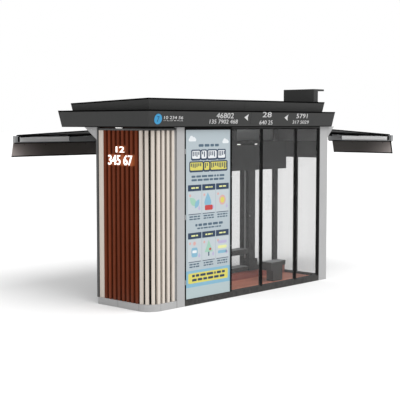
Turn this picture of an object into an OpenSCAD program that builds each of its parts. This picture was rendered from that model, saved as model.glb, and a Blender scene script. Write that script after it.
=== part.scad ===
// Bus shelter: a glazed waiting room with a slatted end wall, a two-tier flared roof
// and two cantilevered awnings. Millimetres, +Z up. X runs along the front, Y runs to the back.
// The origin is the centre of the ground footprint, at ground level.

/* [Overall size] */
// Length of the ground footprint along the front
body_l = 4190; // [3700:10:5200]
// Depth of the ground footprint from front to back
body_d = 1095; // [1000:5:1500]
// Height of the roof underside above the ground
soffit_z = 2600; // [2200:10:3200]

/* [Roof] */
// Height of the lower roof tier
fascia_h = 245; // [160:5:320]
// Outward lean of both tiers, as run over rise
fascia_lean = 0.167; // [0:0.001:0.3]
// Sheet thickness of both fascias
fascia_t = 25; // [12:1:40]
// Overhang of the roof underside at the front and both ends
roof_overhang = 48; // [20:1:150]
// Overhang of the roof underside behind the back wall
roof_back_overhang = 740; // [300:10:900]
// Thickness of the ceiling panel that closes the roof underside
ceiling_t = 25; // [12:1:40]
// Width of the flat ledge between the two tiers
ledge_w = 155; // [80:5:250]
// Thickness of the ledge plate
ledge_t = 12; // [6:1:20]
// Height of the upper tier at the front
crown_h = 165; // [100:5:250]
// Drop of the upper tier's top from front to back
crown_fall = 54; // [0:1:90]
// Thickness of the top sheet
roof_sheet_t = 15; // [8:1:25]

/* [Roof cowl] */
// Length of the cowl along the roof's depth
cowl_d = 640; // [300:10:900]
// Width of the cowl
cowl_w = 115; // [80:5:250]
// Height of the cowl above the roof's top edge
cowl_h = 185; // [100:5:300]
// How far the cap plate runs past the cowl
cowl_cap_run = 170; // [40:5:300]
// Thickness of the cap plate
cowl_cap_t = 30; // [10:1:50]
// Distance of the cowl's outer face from the right end of the footprint
cowl_from_end = 175; // [120:5:900]
// Distance of the cowl from the front of the footprint
cowl_from_front = 80; // [40:5:300]

/* [Left wall] */
// Height of the light plinth under the slats
plinth_h = 100; // [60:5:200]
// Radius of the rounded front corner
corner_r = 220; // [160:5:300]
// Length of the slatted front wing, up to the front post
wing_l = 546; // [420:2:800]
// Setback of the slats from the plinth's face
slat_setback = 10; // [2:1:20]
// Width of a slat
slat_w = 50; // [30:1:56]
// Width of the wide beige slat at the wall's back end
end_slat_w = 110; // [50:5:120]
// Depth of a slat
slat_d = 40; // [20:1:45]
// Number of dark red slats
red_slats_n = 8; // [4:1:8]
// Number of beige slats around the rounded corner
corner_slats_n = 4; // [2:1:4]
// Number of beige slats on the front wing
wing_slats_n = 3; // [1:1:3]
// Distance from the rounded corner to the first red slat's bay
red_lead = 11; // [0:1:30]
// Height of the light rail above the slats
slat_rail_h = 25; // [15:1:50]
// Gap between the slat rail and the roof
slat_rail_gap = 20; // [0:1:50]
// Thickness of the wall panel behind the slats
wall_t = 60; // [30:5:80]
// Width of the dark jamb that closes the wall's back end
rear_jamb_w = 22; // [15:1:60]
// How far the jamb stands out behind the wall, under the awning's bracket
rear_jamb_past = 18; // [0:1:40]

/* [Front] */
// Width of the light post beside the slats
front_post_w = 165; // [100:1:250]
// Depth of the light post
front_post_d = 130; // [110:5:180]
// Width of the light column at the right end
column_w = 215; // [120:5:300]
// Depth of the column at the right end
column_d = 80; // [65:5:190]
// Height of the dark rail along the ground
sill_h = 90; // [60:5:160]
// Height of the ground rail under the end wall
end_sill_h = 68; // [50:1:160]
// Depth of the dark rail
sill_d = 60; // [45:5:100]
// Height of the dark rail under the roof
head_h = 25; // [20:1:60]
// Width of the poster case
poster_w = 1022; // [800:2:1200]
// Depth of the poster case
poster_d = 100; // [60:5:140]
// Width of the dark frame on both sides of the poster
poster_rim = 28; // [12:1:40]
// Width of the dark frame under the poster, above the rail
poster_foot = 6; // [4:1:40]
// Recess of the poster's face behind the frame
poster_recess = 6; // [2:1:15]
// Thickness of the poster's light panel
poster_panel_t = 20; // [8:1:30]
// Width of a mullion
mullion_w = 35; // [25:1:60]
// Depth of a mullion
mullion_d = 46; // [30:1:58]
// Width of the middle glass bay
middle_bay = 840; // [600:10:900]
// Width of the right glass bay
right_bay = 575; // [450:5:750]
// Width of the dark jamb beside the column
jamb_w = 60; // [30:5:90]
// Depth of the dark jamb
jamb_d = 35; // [30:1:58]
// Thickness of the glass
glass_t = 10; // [6:1:12]
// Setback of the glass from the face of its frame
glass_setback = 6; // [2:1:15]

/* [Floor] */
// Thickness of the steel base plate
base_t = 15; // [10:1:30]
// Thickness of the wooden deck
deck_t = 20; // [12:1:30]

/* [Back wall] */
// Thickness of the back wall's window frames
back_frame_d = 50; // [40:5:60]
// Depth of the built-in ledge, header box and service column in front of the windows
fitted_depth = 195; // [150:5:250]
// Left edge of the doorway, from the left face
door_x = 800; // [700:10:1000]
// Clear width of the doorway
door_w = 1000; // [850:10:1100]
// Width of the door posts
door_post_w = 60; // [40:5:90]
// Underside of the header box above the ground
header_z = 1870; // [1750:10:2100]
// Height of the header box
header_h = 485; // [300:5:500]
// Length of the header box's left part, which rises to the roof
header_tall_l = 970; // [600:10:1200]
// Width of the corner post at the back wall's right end
corner_post_w = 90; // [60:5:130]
// Thickness of the corner post's return, which closes the end wall's back edge
corner_return_t = 20; // [12:1:30]
// Top of the window ledge above the ground
ledge_z = 250; // [200:5:300]
// Thickness of the window ledge
ledge_board_t = 80; // [50:5:100]
// Distance of the service column from the right end of the footprint
service_from_end = 885; // [700:5:1100]
// Width of the service column
service_w = 175; // [120:5:400]
// Height of the service column's base block above the ledge's underside
service_base_h = 195; // [150:5:260]
// How far the base block runs past the column on its right
service_base_run = 45; // [20:5:80]
// How far its base stands out in front of the window ledge
service_base_proud = 20; // [5:1:40]
// Thickness of the wooden kick board
kick_t = 20; // [12:1:30]
// Set-back of the kick board behind the window ledge's front
kick_set = 20; // [5:1:60]

/* [End wall] */
// Thickness of the end wall's frames
end_frame_d = 45; // [40:5:80]
// Underside of the end wall's header
end_header_z = 2077; // [1900:5:2200]
// Height of the end wall's header
end_header_h = 272; // [150:2:300]
// Middle of the end wall's post, from the front
end_post_y = 655; // [500:5:760]
// Width of the end wall's post
end_post_w = 60; // [50:5:120]

/* [Furniture] */
// Height of the perch seat's top above the ground
perch_z = 545; // [450:5:600]
// Thickness of the perch seat
perch_t = 88; // [60:2:120]
// Width of the stool's seat
stool_w = 300; // [250:5:400]
// Depth of the stool's seat
stool_d = 200; // [160:5:300]
// Height of the stool's top above the ground
stool_z = 355; // [320:5:450]
// Thickness of the stool's seat block
stool_seat_t = 140; // [60:5:160]
// Setback of the stool's pedestal under its seat, at the left and back
stool_set = 55; // [10:5:60]
// Distance of the stool from the right end of the footprint
stool_from_end = 765; // [600:5:1200]
// Front edge of the stool, from the front
stool_y = 350; // [200:5:450]

/* [Awnings] */
// Reach of each awning from its wall to its outer beam
awning_reach = 1960; // [1400:10:2200]
// How far the back awning stops short of the right end
back_awning_short = 60; // [20:10:400]
// How far the end awning runs past the back wall
end_awning_past = 205; // [0:5:400]
// Gap between the roof underside and the sheet's top where it meets the wall
awning_root_gap = 37; // [20:1:80]
// Drop of the back awning's sheet over its reach
back_awning_drop = 92; // [60:1:160]
// Drop of the end awning's sheet over its reach
end_awning_drop = 108; // [60:1:160]
// Thickness of the sheet
awning_t = 18; // [12:1:30]
// Height of the outer beam
beam_h = 105; // [60:1:120]
// Depth of the outer beam
beam_d = 60; // [40:1:80]
// How far the outer beam runs past the side arms at both ends
beam_past = 55; // [0:5:100]
// How far the back awning's skirt runs past its side arms
back_skirt_past = 68; // [0:1:80]
// How far the end awning's skirt runs past its front arm
end_skirt_past = 33; // [0:1:80]
// How far the end awning's skirt stops short of its back arm
end_skirt_short = 20; // [0:1:60]
// Height of the outer skirt below the beam
skirt_h = 236; // [120:2:300]
// Outward lean of the skirt in degrees
skirt_lean = 14; // [0:1:20]
// Thickness of the skirt
skirt_t = 8; // [5:1:12]
// Width of a side arm
arm_w = 30; // [20:1:60]
// Height of a side arm
arm_h = 30; // [20:1:60]
// Length of the lamp on each outer beam
lamp_l = 1020; // [600:10:1200]
// Height of the lamp
lamp_h = 78; // [40:1:90]
// Depth of the lamp
lamp_d = 45; // [25:1:60]
// Distance of the lamp from the beam's end
lamp_from_end = 50; // [20:5:90]
// Reach of the back awning's bracket plates under the roof
back_bracket_reach = 275; // [150:5:300]
// Reach of the end awning's bracket plates under the roof
end_bracket_reach = 180; // [120:5:300]
// Height of the bracket plates
bracket_h = 185; // [100:1:220]
// Thickness of the bracket plates
bracket_t = 10; // [6:1:16]
// Depth of the rail between the roof and the sheet's root
ledger_d = 50; // [30:5:80]

/* [Lights and sign] */
// Length of the light over the slats
downlight_l = 120; // [60:5:200]
// Width of the light over the slats
downlight_w = 44; // [30:1:50]
// Height of the light over the slats
downlight_h = 14; // [6:1:18]
// Height of the lit bus sign's middle above the ground
sign_z = 2185; // [1900:5:2400]
// Width of the lit bus sign
sign_w = 510; // [250:10:600]
// Height of the lit bus sign
sign_h = 285; // [150:5:320]
// Thickness of the lit bus sign
sign_t = 14; // [8:1:20]

/* [Hidden] */
$fn = 48;
eps = 1;

// Heights
deck_z = base_t + deck_t;
head_z = soffit_z - head_h;
slat_rail_z = soffit_z - slat_rail_gap - slat_rail_h;
poster_z0 = sill_h + poster_foot;
poster_z1 = head_z - poster_rim / 2;
service_base_top = ledge_z - ledge_board_t + service_base_h;
roof_deck_z = soffit_z + fascia_h;
crown_z = roof_deck_z + crown_h;

// The layers of the left wall, measured inwards from the plinth's face
slat_out = slat_setback;
wall_out = slat_out + slat_d;
wall_in = wall_out + wall_t;

// Stations along the front, measured from the left face
post_x = wing_l;
poster_x = post_x + front_post_w;
poster_end = poster_x + poster_w;
column_x = body_l - column_w;
jamb_x = column_x - jamb_w;
right_mullion_x = jamb_x - right_bay - mullion_w;
left_mullion_x = right_mullion_x - middle_bay - mullion_w;

// Stations along the depth, measured from the front
back_y = body_d - back_frame_d;
fitted_y = back_y - fitted_depth;
end_in = body_l - end_frame_d;
return_y = body_d - corner_return_t;
corner_post_x = end_in - corner_post_w;
door_end = door_x + door_w;
fitted_x = door_end + door_post_w;
service_end = body_l - service_from_end;
service_x = service_end - service_w;
stool_end = body_l - stool_from_end;

// The lit sign and the light over it stand in the middle of the red slats
red_start = corner_r + red_lead;
red_zone = body_d - rear_jamb_w - end_slat_w - red_start;
end_slat_gap = 2;
red_mid_y = red_start + red_zone / 2;

// Space before the first and after the last corner slat, and at both ends of the wing, in slat steps
corner_lead = 0.365;
corner_tail = 0.206;
wing_lead = 0.74;
wing_tail = 0.586;

// Roof edges at the underside
roof_x0 = -roof_overhang;
roof_x1 = body_l + roof_overhang;
roof_y0 = -roof_overhang;
roof_y1 = body_d + roof_back_overhang;
fascia_out = fascia_lean * fascia_h;
crown_in = ledge_w - fascia_out;

// Awnings
awning_root_z = soffit_z - awning_root_gap;
back_awning_l = body_l - back_awning_short;
end_awning_l = body_d + end_awning_past;
back_lamp_start = lamp_from_end - beam_past;
end_lamp_start = end_awning_l + beam_past - lamp_from_end - lamp_l;

// Moves the front left corner of the footprint from the origin to its place
module placed() {
    translate([-body_l / 2, -body_d / 2, 0]) children();
}

// A box given by its two opposite corners
module block(a, b) {
    translate(a) cube(b - a);
}

// Plan of the L-shaped wall with its rounded corner, filled, for an inset from the face
module wall_region(inset, len_x, len_y) {
    r = corner_r - inset;
    translate([corner_r, corner_r]) circle(r);
    translate([corner_r, inset]) square([len_x - corner_r, len_y - inset]);
    translate([inset, corner_r]) square([corner_r, len_y - corner_r]);
}

// Plan of one layer of the wall between two insets
module wall_band(inset_a, inset_b) {
    difference() {
        wall_region(inset_a, wing_l, body_d);
        wall_region(inset_b, wing_l + eps, body_d + eps);
    }
}

// A block with four faces that lean out evenly towards its top
module flared(x0, x1, y0, y1, z0, h, lean) {
    o = lean * h;
    intersection() {
        translate([0, y1 + o + eps, z0]) rotate([90, 0, 0]) linear_extrude(y1 - y0 + 2 * (o + eps))
            polygon([[x0, 0], [x1, 0], [x1 + o, h], [x0 - o, h]]);
        translate([x0 - o - eps, 0, z0]) rotate([90, 0, 90]) linear_extrude(x1 - x0 + 2 * (o + eps))
            polygon([[y0, 0], [y1, 0], [y1 + o, h], [y0 - o, h]]);
    }
}

// A leaning ring of sheet, open at the top and bottom
module flared_ring(x0, x1, y0, y1, z0, h, lean, t) {
    difference() {
        flared(x0, x1, y0, y1, z0, h, lean);
        translate([0, 0, -eps]) flared(
            x0 + t + lean * eps, x1 - t - lean * eps,
            y0 + t + lean * eps, y1 - t - lean * eps,
            z0, h + 2 * eps, lean
        );
    }
}

// Floor and plinth

// Plan of the floor, less what stands through it: the plinth, the posts and the column
module floor_plan() {
    difference() {
        translate([wall_in, sill_d]) square([end_in - wall_in, back_y - sill_d]);
        wall_band(-eps, wall_in);
        translate([post_x - eps, 0]) square([front_post_w + eps, front_post_d]);
        translate([column_x, 0]) square([column_w, column_d]);
    }
}

module base_plate() {
    color("dimgray") placed() linear_extrude(base_t) floor_plan();
}

module floor_deck() {
    color("sienna") placed() translate([0, 0, base_t]) linear_extrude(deck_t) floor_plan();
}

module plinth() {
    color("lightgray") placed() linear_extrude(plinth_h) wall_band(0, wall_in);
}

// Left wall

module left_wall() {
    color("dimgray") placed()
        block([wall_out, corner_r, plinth_h], [wall_in, body_d - rear_jamb_w, soffit_z]);
}

module corner_wall() {
    color("dimgray") placed() intersection() {
        translate([0, 0, plinth_h]) linear_extrude(soffit_z - plinth_h) wall_band(wall_out, wall_in);
        block([0, 0, 0], [wing_l, corner_r, soffit_z + eps]);
    }
}

module rear_jamb() {
    color("darkslategray") placed() {
        block([0, body_d - rear_jamb_w, plinth_h], [wall_in, body_d, soffit_z]);
        block(
            [0, body_d - eps, plinth_h],
            [wall_in, body_d + rear_jamb_past, soffit_z - bracket_h]
        );
    }
}

// One slat standing on the plinth, with its face towards -X and its middle on the X axis
module slat(w) {
    translate([slat_out, -w / 2, plinth_h]) cube([slat_d, w, slat_rail_z - plinth_h]);
}

// Turns a slat round the corner's centre, by an angle from the left face towards the front
module round_corner(angle) {
    translate([corner_r, corner_r, 0]) rotate([0, 0, angle]) translate([-corner_r, 0, 0]) children();
}

module red_slats() {
    pitch = (red_zone - end_slat_gap - slat_w / 2) / (red_slats_n - 0.5);
    color("saddlebrown") placed() for (i = [0:red_slats_n - 1])
        translate([0, red_start + pitch * (i + 0.5), 0]) slat(slat_w);
}

module beige_slats() {
    corner_step = 90 / (corner_slats_n - 1 + corner_lead + corner_tail);
    wing_pitch = (wing_l - corner_r) / (wing_slats_n - 1 + wing_lead + wing_tail);
    color("antiquewhite") placed() {
        translate([0, body_d - rear_jamb_w - end_slat_w / 2, 0]) slat(end_slat_w);
        for (i = [0:corner_slats_n - 1]) round_corner(corner_step * (i + corner_lead)) slat(slat_w);
        for (i = [0:wing_slats_n - 1])
            translate([corner_r + wing_pitch * (i + wing_lead), 0, 0]) rotate([0, 0, 90]) slat(slat_w);
    }
}

module slat_rail() {
    color("silver") placed() translate([0, 0, slat_rail_z]) linear_extrude(slat_rail_h)
        difference() {
            wall_band(slat_out, wall_out);
            translate([0, body_d - rear_jamb_w]) square([wall_in, rear_jamb_w]);
        }
}

module lit_sign() {
    color("white") placed()
        block(
            [slat_out - sign_t, red_mid_y - sign_w / 2, sign_z - sign_h / 2],
            [slat_out, red_mid_y + sign_w / 2, sign_z + sign_h / 2]
        );
}

// The light over the slats, and a lamp on the inside of each awning's outer beam
module lamps() {
    color("white") {
        placed() translate([slat_out - roof_overhang / 2, red_mid_y, soffit_z - downlight_h])
            translate([-downlight_w / 2, -downlight_l / 2, 0])
                cube([downlight_w, downlight_l, downlight_h]);
        back_awning_place() awning_lamp(back_lamp_start, back_awning_drop);
        end_awning_place() awning_lamp(end_lamp_start, end_awning_drop);
    }
}

// Front

module front_post() {
    color("lightgray") placed() block([post_x, 0, 0], [poster_x, front_post_d, soffit_z]);
}

module front_column() {
    color("lightgray") placed() block([column_x, 0, 0], [body_l, column_d, soffit_z]);
}

module front_rails() {
    color("black") placed() {
        block([poster_x, 0, 0], [column_x, sill_d, sill_h]);
        block([poster_end, 0, head_z], [column_x, sill_d, soffit_z]);
    }
}

module front_mullions() {
    color("black") placed() {
        for (x = [left_mullion_x, right_mullion_x])
            block([x, 0, sill_h], [x + mullion_w, mullion_d, head_z]);
        block([jamb_x, 0, sill_h], [column_x, jamb_d, head_z]);
    }
}

module front_glass() {
    y0 = glass_setback;
    y1 = glass_setback + glass_t;
    color("lightblue", 0.4) placed() {
        block([poster_end, y0, sill_h], [left_mullion_x, y1, head_z]);
        block([left_mullion_x + mullion_w, y0, sill_h], [right_mullion_x, y1, head_z]);
        block([right_mullion_x + mullion_w, y0, sill_h], [jamb_x, y1, head_z]);
    }
}

module poster_case() {
    color("black") placed() difference() {
        block([poster_x, 0, sill_h], [poster_end, poster_d, soffit_z]);
        block(
            [poster_x + poster_rim, -eps, poster_z0],
            [poster_end - poster_rim, poster_recess + poster_panel_t, poster_z1]
        );
    }
}

module poster_panel() {
    color("aliceblue") placed()
        block(
            [poster_x + poster_rim, poster_recess, poster_z0],
            [poster_end - poster_rim, poster_recess + poster_panel_t, poster_z1]
        );
}

// End wall

// Dark rails along the ground under the end and back walls
module room_sills() {
    color("black") placed() {
        block([end_in, column_d, 0], [body_l, return_y, end_sill_h]);
        block([wall_in, back_y, 0], [door_x - door_post_w, body_d, sill_h]);
        block([fitted_x, back_y, 0], [corner_post_x, body_d, sill_h]);
    }
}

// The end wall's header with the post under it
module end_frame() {
    y0 = end_post_y - end_post_w / 2;
    color("dimgray") placed() {
        block([end_in, column_d, end_header_z], [body_l, return_y, end_header_z + end_header_h]);
        block([end_in, y0, end_sill_h], [body_l, y0 + end_post_w, end_header_z]);
    }
}

module end_glass() {
    x0 = body_l - glass_setback - glass_t;
    x1 = body_l - glass_setback;
    post_y0 = end_post_y - end_post_w / 2;
    top_z = end_header_z + end_header_h;
    color("lightblue", 0.4) placed() {
        block([x0, column_d, end_sill_h], [x1, post_y0, end_header_z]);
        block([x0, post_y0 + end_post_w, end_sill_h], [x1, return_y, end_header_z]);
        block([x0, column_d, top_z], [x1, return_y, soffit_z]);
    }
}

// Back wall

// The two door posts and the corner post, whose return covers the end wall's back edge
module back_posts() {
    color("dimgray") placed() {
        block([door_x - door_post_w, back_y, 0], [door_x, body_d, soffit_z]);
        block([door_end, back_y, 0], [fitted_x, body_d, soffit_z]);
        block([corner_post_x, back_y, 0], [end_in, body_d, soffit_z]);
        block([end_in - eps, return_y, 0], [body_l, body_d, soffit_z]);
    }
}

module back_transom() {
    z1 = header_z + header_h;
    color("dimgray") placed() {
        block([wall_in, back_y, header_z], [door_x - door_post_w, body_d, z1]);
        block([door_x, back_y, header_z], [door_end, body_d, z1]);
        block([fitted_x, back_y, header_z], [corner_post_x, body_d, z1]);
    }
}

module back_glass() {
    y0 = body_d - glass_setback - glass_t;
    y1 = body_d - glass_setback;
    z1 = header_z + header_h;
    color("lightblue", 0.4) placed() {
        block([wall_in, y0, sill_h], [door_x - door_post_w, y1, header_z]);
        block([fitted_x, y0, sill_h], [corner_post_x, y1, header_z]);
        block([wall_in, y0, z1], [door_x - door_post_w, y1, soffit_z]);
        block([door_x, y0, z1], [door_end, y1, soffit_z]);
        block([fitted_x, y0, z1], [corner_post_x, y1, soffit_z]);
    }
}

module kick_board() {
    color("sienna") placed()
        block(
            [fitted_x, fitted_y + kick_set, deck_z],
            [end_in, fitted_y + kick_set + kick_t, ledge_z - ledge_board_t]
        );
}

module window_ledge() {
    color("darkgray") placed() difference() {
        block([fitted_x, fitted_y, ledge_z - ledge_board_t], [end_in, back_y, ledge_z]);
        service_base(eps);
    }
}

// The base block of the service column, which stands in the ledge, taller by an amount at both ends
module service_base(grow) {
    block(
        [service_x, fitted_y - service_base_proud, ledge_z - ledge_board_t - grow],
        [service_end + service_base_run, back_y, service_base_top + grow]
    );
}

module header_box() {
    color("dimgray") placed() {
        block([fitted_x, fitted_y, header_z], [end_in, back_y, header_z + header_h]);
        block([fitted_x, fitted_y, header_z], [fitted_x + header_tall_l, back_y, soffit_z]);
    }
}

module service_column() {
    color("gray") placed() {
        block([service_x, fitted_y, service_base_top - eps], [service_end, back_y, header_z]);
        service_base(0);
    }
}

// Furniture

// A deep board over the window ledge, carried by the door post and the service column
module perch_seat() {
    color("darkgray") placed()
        block([door_end, fitted_y, perch_z - perch_t], [service_x, back_y, perch_z]);
}

module stool() {
    x0 = stool_end - stool_w;
    seat_z = stool_z - stool_seat_t;
    color("dimgray") placed() {
        block([x0, stool_y, seat_z], [stool_end, stool_y + stool_d, stool_z]);
        block([x0 + stool_set, stool_y, deck_z], [stool_end, stool_y + stool_d - stool_set, seat_z]);
    }
}

// Roof

// A flat plate that fills the lower tier's ring, from a height above the roof underside
module tier_plate(z, t) {
    inset = fascia_t - fascia_lean * z;
    flared(
        roof_x0 + inset, roof_x1 - inset, roof_y0 + inset, roof_y1 - inset,
        soffit_z + z, t, fascia_lean
    );
}

module ceiling() {
    color("gray") placed() tier_plate(0, ceiling_t);
}

module roof_fascia() {
    color("dimgray") placed()
        flared_ring(roof_x0, roof_x1, roof_y0, roof_y1, soffit_z, fascia_h, fascia_lean, fascia_t);
}

module roof_ledge() {
    color("dimgray") placed() tier_plate(fascia_h - ledge_t, ledge_t);
}

// The upper tier's outer form, before its top is cut to the fall
module crown_form(grow, extra) {
    flared(
        roof_x0 + crown_in + grow, roof_x1 - crown_in - grow,
        roof_y0 + crown_in + grow, roof_y1 - crown_in - grow,
        roof_deck_z, crown_h + extra, fascia_lean
    );
}

// A thick layer above the sloping top of the upper tier, lowered by a depth
module above_crown(depth) {
    y0 = roof_y0 + crown_in;
    span = roof_y1 - roof_y0 - 2 * crown_in;
    translate([roof_x0, y0, crown_z - depth]) rotate([-atan(crown_fall / span), 0, 0])
        translate([-body_l, -span, 0]) cube([3 * body_l, 3 * span, 4 * crown_h]);
}

module crown_fascia() {
    color("dimgray") placed() difference() {
        crown_form(0, 0);
        translate([0, 0, -eps]) crown_form(fascia_t, 2 * eps);
        above_crown(0);
    }
}

module crown_sheet() {
    color("darkslategray") placed() difference() {
        intersection() {
            crown_form(fascia_t, 0);
            above_crown(roof_sheet_t);
        }
        above_crown(0);
    }
}

module roof_cowl() {
    x1 = body_l - cowl_from_end;
    color("dimgray") placed() intersection() {
        block(
            [x1 - cowl_w, cowl_from_front, roof_deck_z],
            [x1, cowl_from_front + cowl_d, crown_z + cowl_h]
        );
        above_crown(0);
    }
}

module cowl_cap() {
    x1 = body_l - cowl_from_end;
    z0 = crown_z + cowl_h;
    color("dimgray") placed()
        block(
            [x1 - cowl_w, cowl_from_front, z0],
            [x1 + cowl_cap_run, cowl_from_front + cowl_d, z0 + cowl_cap_t]
        );
}

// Awnings. Each is drawn with its root on the plane Y = 0, reaching towards +Y, from X = 0 to its length.

function awning_angle(drop) = atan(drop / awning_reach);
function sheet_len(drop) = awning_reach / cos(awning_angle(drop));
function beam_top(drop) = awning_root_z - drop - awning_t * cos(awning_angle(drop));

module awning_sheet(len, drop) {
    intersection() {
        translate([0, 0, awning_root_z]) rotate([-awning_angle(drop), 0, 0])
            translate([bracket_t, 0, -awning_t]) cube([len - 2 * bracket_t, sheet_len(drop), awning_t]);
        cube([len, awning_reach, soffit_z]);
    }
}

// Two side arms, notched round the lamp, and the outer beam that they end at
module awning_frame(len, drop, lamp_start) {
    inner = awning_reach - beam_d;
    difference() {
        intersection() {
            for (x = [bracket_t, len - bracket_t - arm_w])
                translate([0, 0, awning_root_z]) rotate([-awning_angle(drop), 0, 0])
                    translate([x, 0, -awning_t - arm_h]) cube([arm_w, sheet_len(drop), arm_h]);
            cube([len, inner + eps, soffit_z]);
        }
        awning_lamp(lamp_start, drop);
    }
    translate([-beam_past, inner, beam_top(drop) - beam_h])
        cube([len + 2 * beam_past, beam_d, beam_h]);
}

// The skirt under the beam, between two places along the awning
module awning_skirt(start, end, drop) {
    top = beam_top(drop) - beam_h - skirt_t * sin(skirt_lean);
    translate([start, awning_reach - beam_d / 2, top]) rotate([skirt_lean, 0, 0])
        translate([0, 0, -skirt_h]) cube([end - start, skirt_t, skirt_h]);
}

// The lamp on the beam's inner face, from a distance along the awning
module awning_lamp(start, drop) {
    translate([start, awning_reach - beam_d - lamp_d, beam_top(drop) - (beam_h + lamp_h) / 2])
        cube([lamp_l, lamp_d, lamp_h]);
}

// The rail between the roof and the sheet's root, with a three-cornered plate at each end
module awning_bracket_set(len, drop, reach) {
    translate([0, 0, soffit_z]) rotate([90, 0, 90]) {
        linear_extrude(len) polygon([
            [0, 0], [ledger_d, 0], [ledger_d, -awning_root_gap - ledger_d * tan(awning_angle(drop))],
            [0, -awning_root_gap]
        ]);
        for (x = [0, len - bracket_t]) translate([0, 0, x]) linear_extrude(bracket_t)
            polygon([[0, 0], [reach, 0], [0, -bracket_h]]);
    }
}

module back_awning_place() {
    placed() translate([0, body_d, 0]) children();
}

module end_awning_place() {
    placed() translate([body_l, end_awning_l, 0]) rotate([0, 0, -90]) children();
}

module back_awning_sheet() {
    color("dimgray") back_awning_place() awning_sheet(back_awning_l, back_awning_drop);
}

module back_awning_frame() {
    color("gray") back_awning_place()
            awning_frame(back_awning_l, back_awning_drop, back_lamp_start);
}

module back_awning_skirt() {
    color("dimgray", 0.7) back_awning_place()
        awning_skirt(-back_skirt_past, back_awning_l + back_skirt_past, back_awning_drop);
}

module end_awning_sheet() {
    color("dimgray") end_awning_place() awning_sheet(end_awning_l, end_awning_drop);
}

module end_awning_frame() {
    color("gray") end_awning_place()
            awning_frame(end_awning_l, end_awning_drop, end_lamp_start);
}

module end_awning_skirt() {
    color("dimgray", 0.7) end_awning_place()
        awning_skirt(end_skirt_short, end_awning_l + end_skirt_past, end_awning_drop);
}

module awning_brackets() {
    color("lightgray") {
        back_awning_place() awning_bracket_set(back_awning_l, back_awning_drop, back_bracket_reach);
        end_awning_place() awning_bracket_set(end_awning_l, end_awning_drop, end_bracket_reach);
    }
}

base_plate();
floor_deck();
plinth();
left_wall();
corner_wall();
rear_jamb();
red_slats();
beige_slats();
slat_rail();
lit_sign();
lamps();
front_post();
front_column();
front_rails();
front_mullions();
front_glass();
poster_case();
poster_panel();
room_sills();
end_frame();
end_glass();
back_posts();
back_transom();
back_glass();
kick_board();
window_ledge();
header_box();
service_column();
perch_seat();
stool();
ceiling();
roof_fascia();
roof_ledge();
crown_fascia();
crown_sheet();
roof_cowl();
cowl_cap();
back_awning_sheet();
back_awning_frame();
back_awning_skirt();
end_awning_sheet();
end_awning_frame();
end_awning_skirt();
awning_brackets();
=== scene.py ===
"""Looks of the bus shelter: finishes, joints, boards, lamps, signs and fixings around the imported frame.

Lengths are in metres. +X runs along the glazed front, +Y runs to the back and +Z up.
"""

import math
from collections import namedtuple

import bmesh
import bpy
from mathutils import Matrix, Vector


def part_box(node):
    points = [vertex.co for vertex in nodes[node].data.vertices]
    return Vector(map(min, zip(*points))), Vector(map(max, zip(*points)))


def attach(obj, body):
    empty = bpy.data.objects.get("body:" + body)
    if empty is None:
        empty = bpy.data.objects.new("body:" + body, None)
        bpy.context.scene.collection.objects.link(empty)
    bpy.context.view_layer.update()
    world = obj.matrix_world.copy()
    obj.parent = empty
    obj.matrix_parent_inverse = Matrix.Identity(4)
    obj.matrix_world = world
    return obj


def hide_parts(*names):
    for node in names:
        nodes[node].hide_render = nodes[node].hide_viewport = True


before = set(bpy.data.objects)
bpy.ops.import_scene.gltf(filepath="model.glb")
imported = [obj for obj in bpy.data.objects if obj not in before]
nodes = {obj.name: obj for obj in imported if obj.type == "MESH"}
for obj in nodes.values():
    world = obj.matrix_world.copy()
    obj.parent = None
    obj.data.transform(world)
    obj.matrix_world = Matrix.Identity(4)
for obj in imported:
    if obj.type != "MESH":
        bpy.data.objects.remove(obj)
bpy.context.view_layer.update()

MM = 0.001
# Points nearer than this are one point
JOIN = 0.01 * MM
# The turn between two faces. Below FLAT they lie in one plane. Above SHARP their edge is eased,
# above ROD_RIM it is the rim of a rod's end, and above CREASE it is shaded as an edge
FLAT, SHARP, ROD_RIM, CREASE = (math.radians(turn) for turn in (0.5, 25, 60, 15))
UP, OUT_FRONT, OUT_LEFT = Vector((0, 0, 1)), Vector((0, -1, 0)), Vector((-1, 0, 0))

Span = namedtuple("Span", "x0 y0 z0 x1 y1 z1")


def span(node):
    """The box of a CAD node, with a name for each side."""
    low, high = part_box(node)
    return Span(*low, *high)


def merged(node):
    """A copy of a CAD node's mesh with its double points merged."""
    bm = bmesh.new()
    bm.from_mesh(nodes[node].data)
    bmesh.ops.remove_doubles(bm, verts=bm.verts, dist=JOIN)
    return bm


def limits(verts):
    """The lowest and the highest corner of the box round some vertices."""
    return [[pick(v.co[i] for v in verts) for i in range(3)] for pick in (min, max)]


def parts_of(node):
    """The boxes of a CAD node's separate solids, in order along X, then Y, then Z."""
    bm = merged(node)
    left, boxes = set(bm.verts), []
    while left:
        group, edge = set(), {left.pop()}
        while edge:
            group |= edge
            edge = {e.other_vert(v) for v in edge for e in v.link_edges} - group
        left -= group
        lows, highs = limits(group)
        boxes.append(Span(*(round(value, 5) for value in lows + highs)))
    bm.free()
    return sorted(boxes)


# Shapes


def ease_edges(bm, edges, ease, rounds=2):
    """Rounds edges off."""
    bmesh.ops.bevel(
        bm, geom=edges, offset=ease, offset_type="OFFSET", segments=rounds,
        profile=0.5, affect="EDGES", material=-1,
    )


def edges_of(faces):
    """The edges of some faces, each named once and always in the same order."""
    return list(dict.fromkeys(edge for face in faces for edge in face.edges))


def edges_at(verts):
    """The edges that meet some vertices, each named once and always in the same order."""
    return list(dict.fromkeys(edge for vert in verts for edge in vert.link_edges))


def sharp_edges(bm):
    return [e for e in bm.edges if e.is_manifold and e.calc_face_angle() > SHARP]


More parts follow.
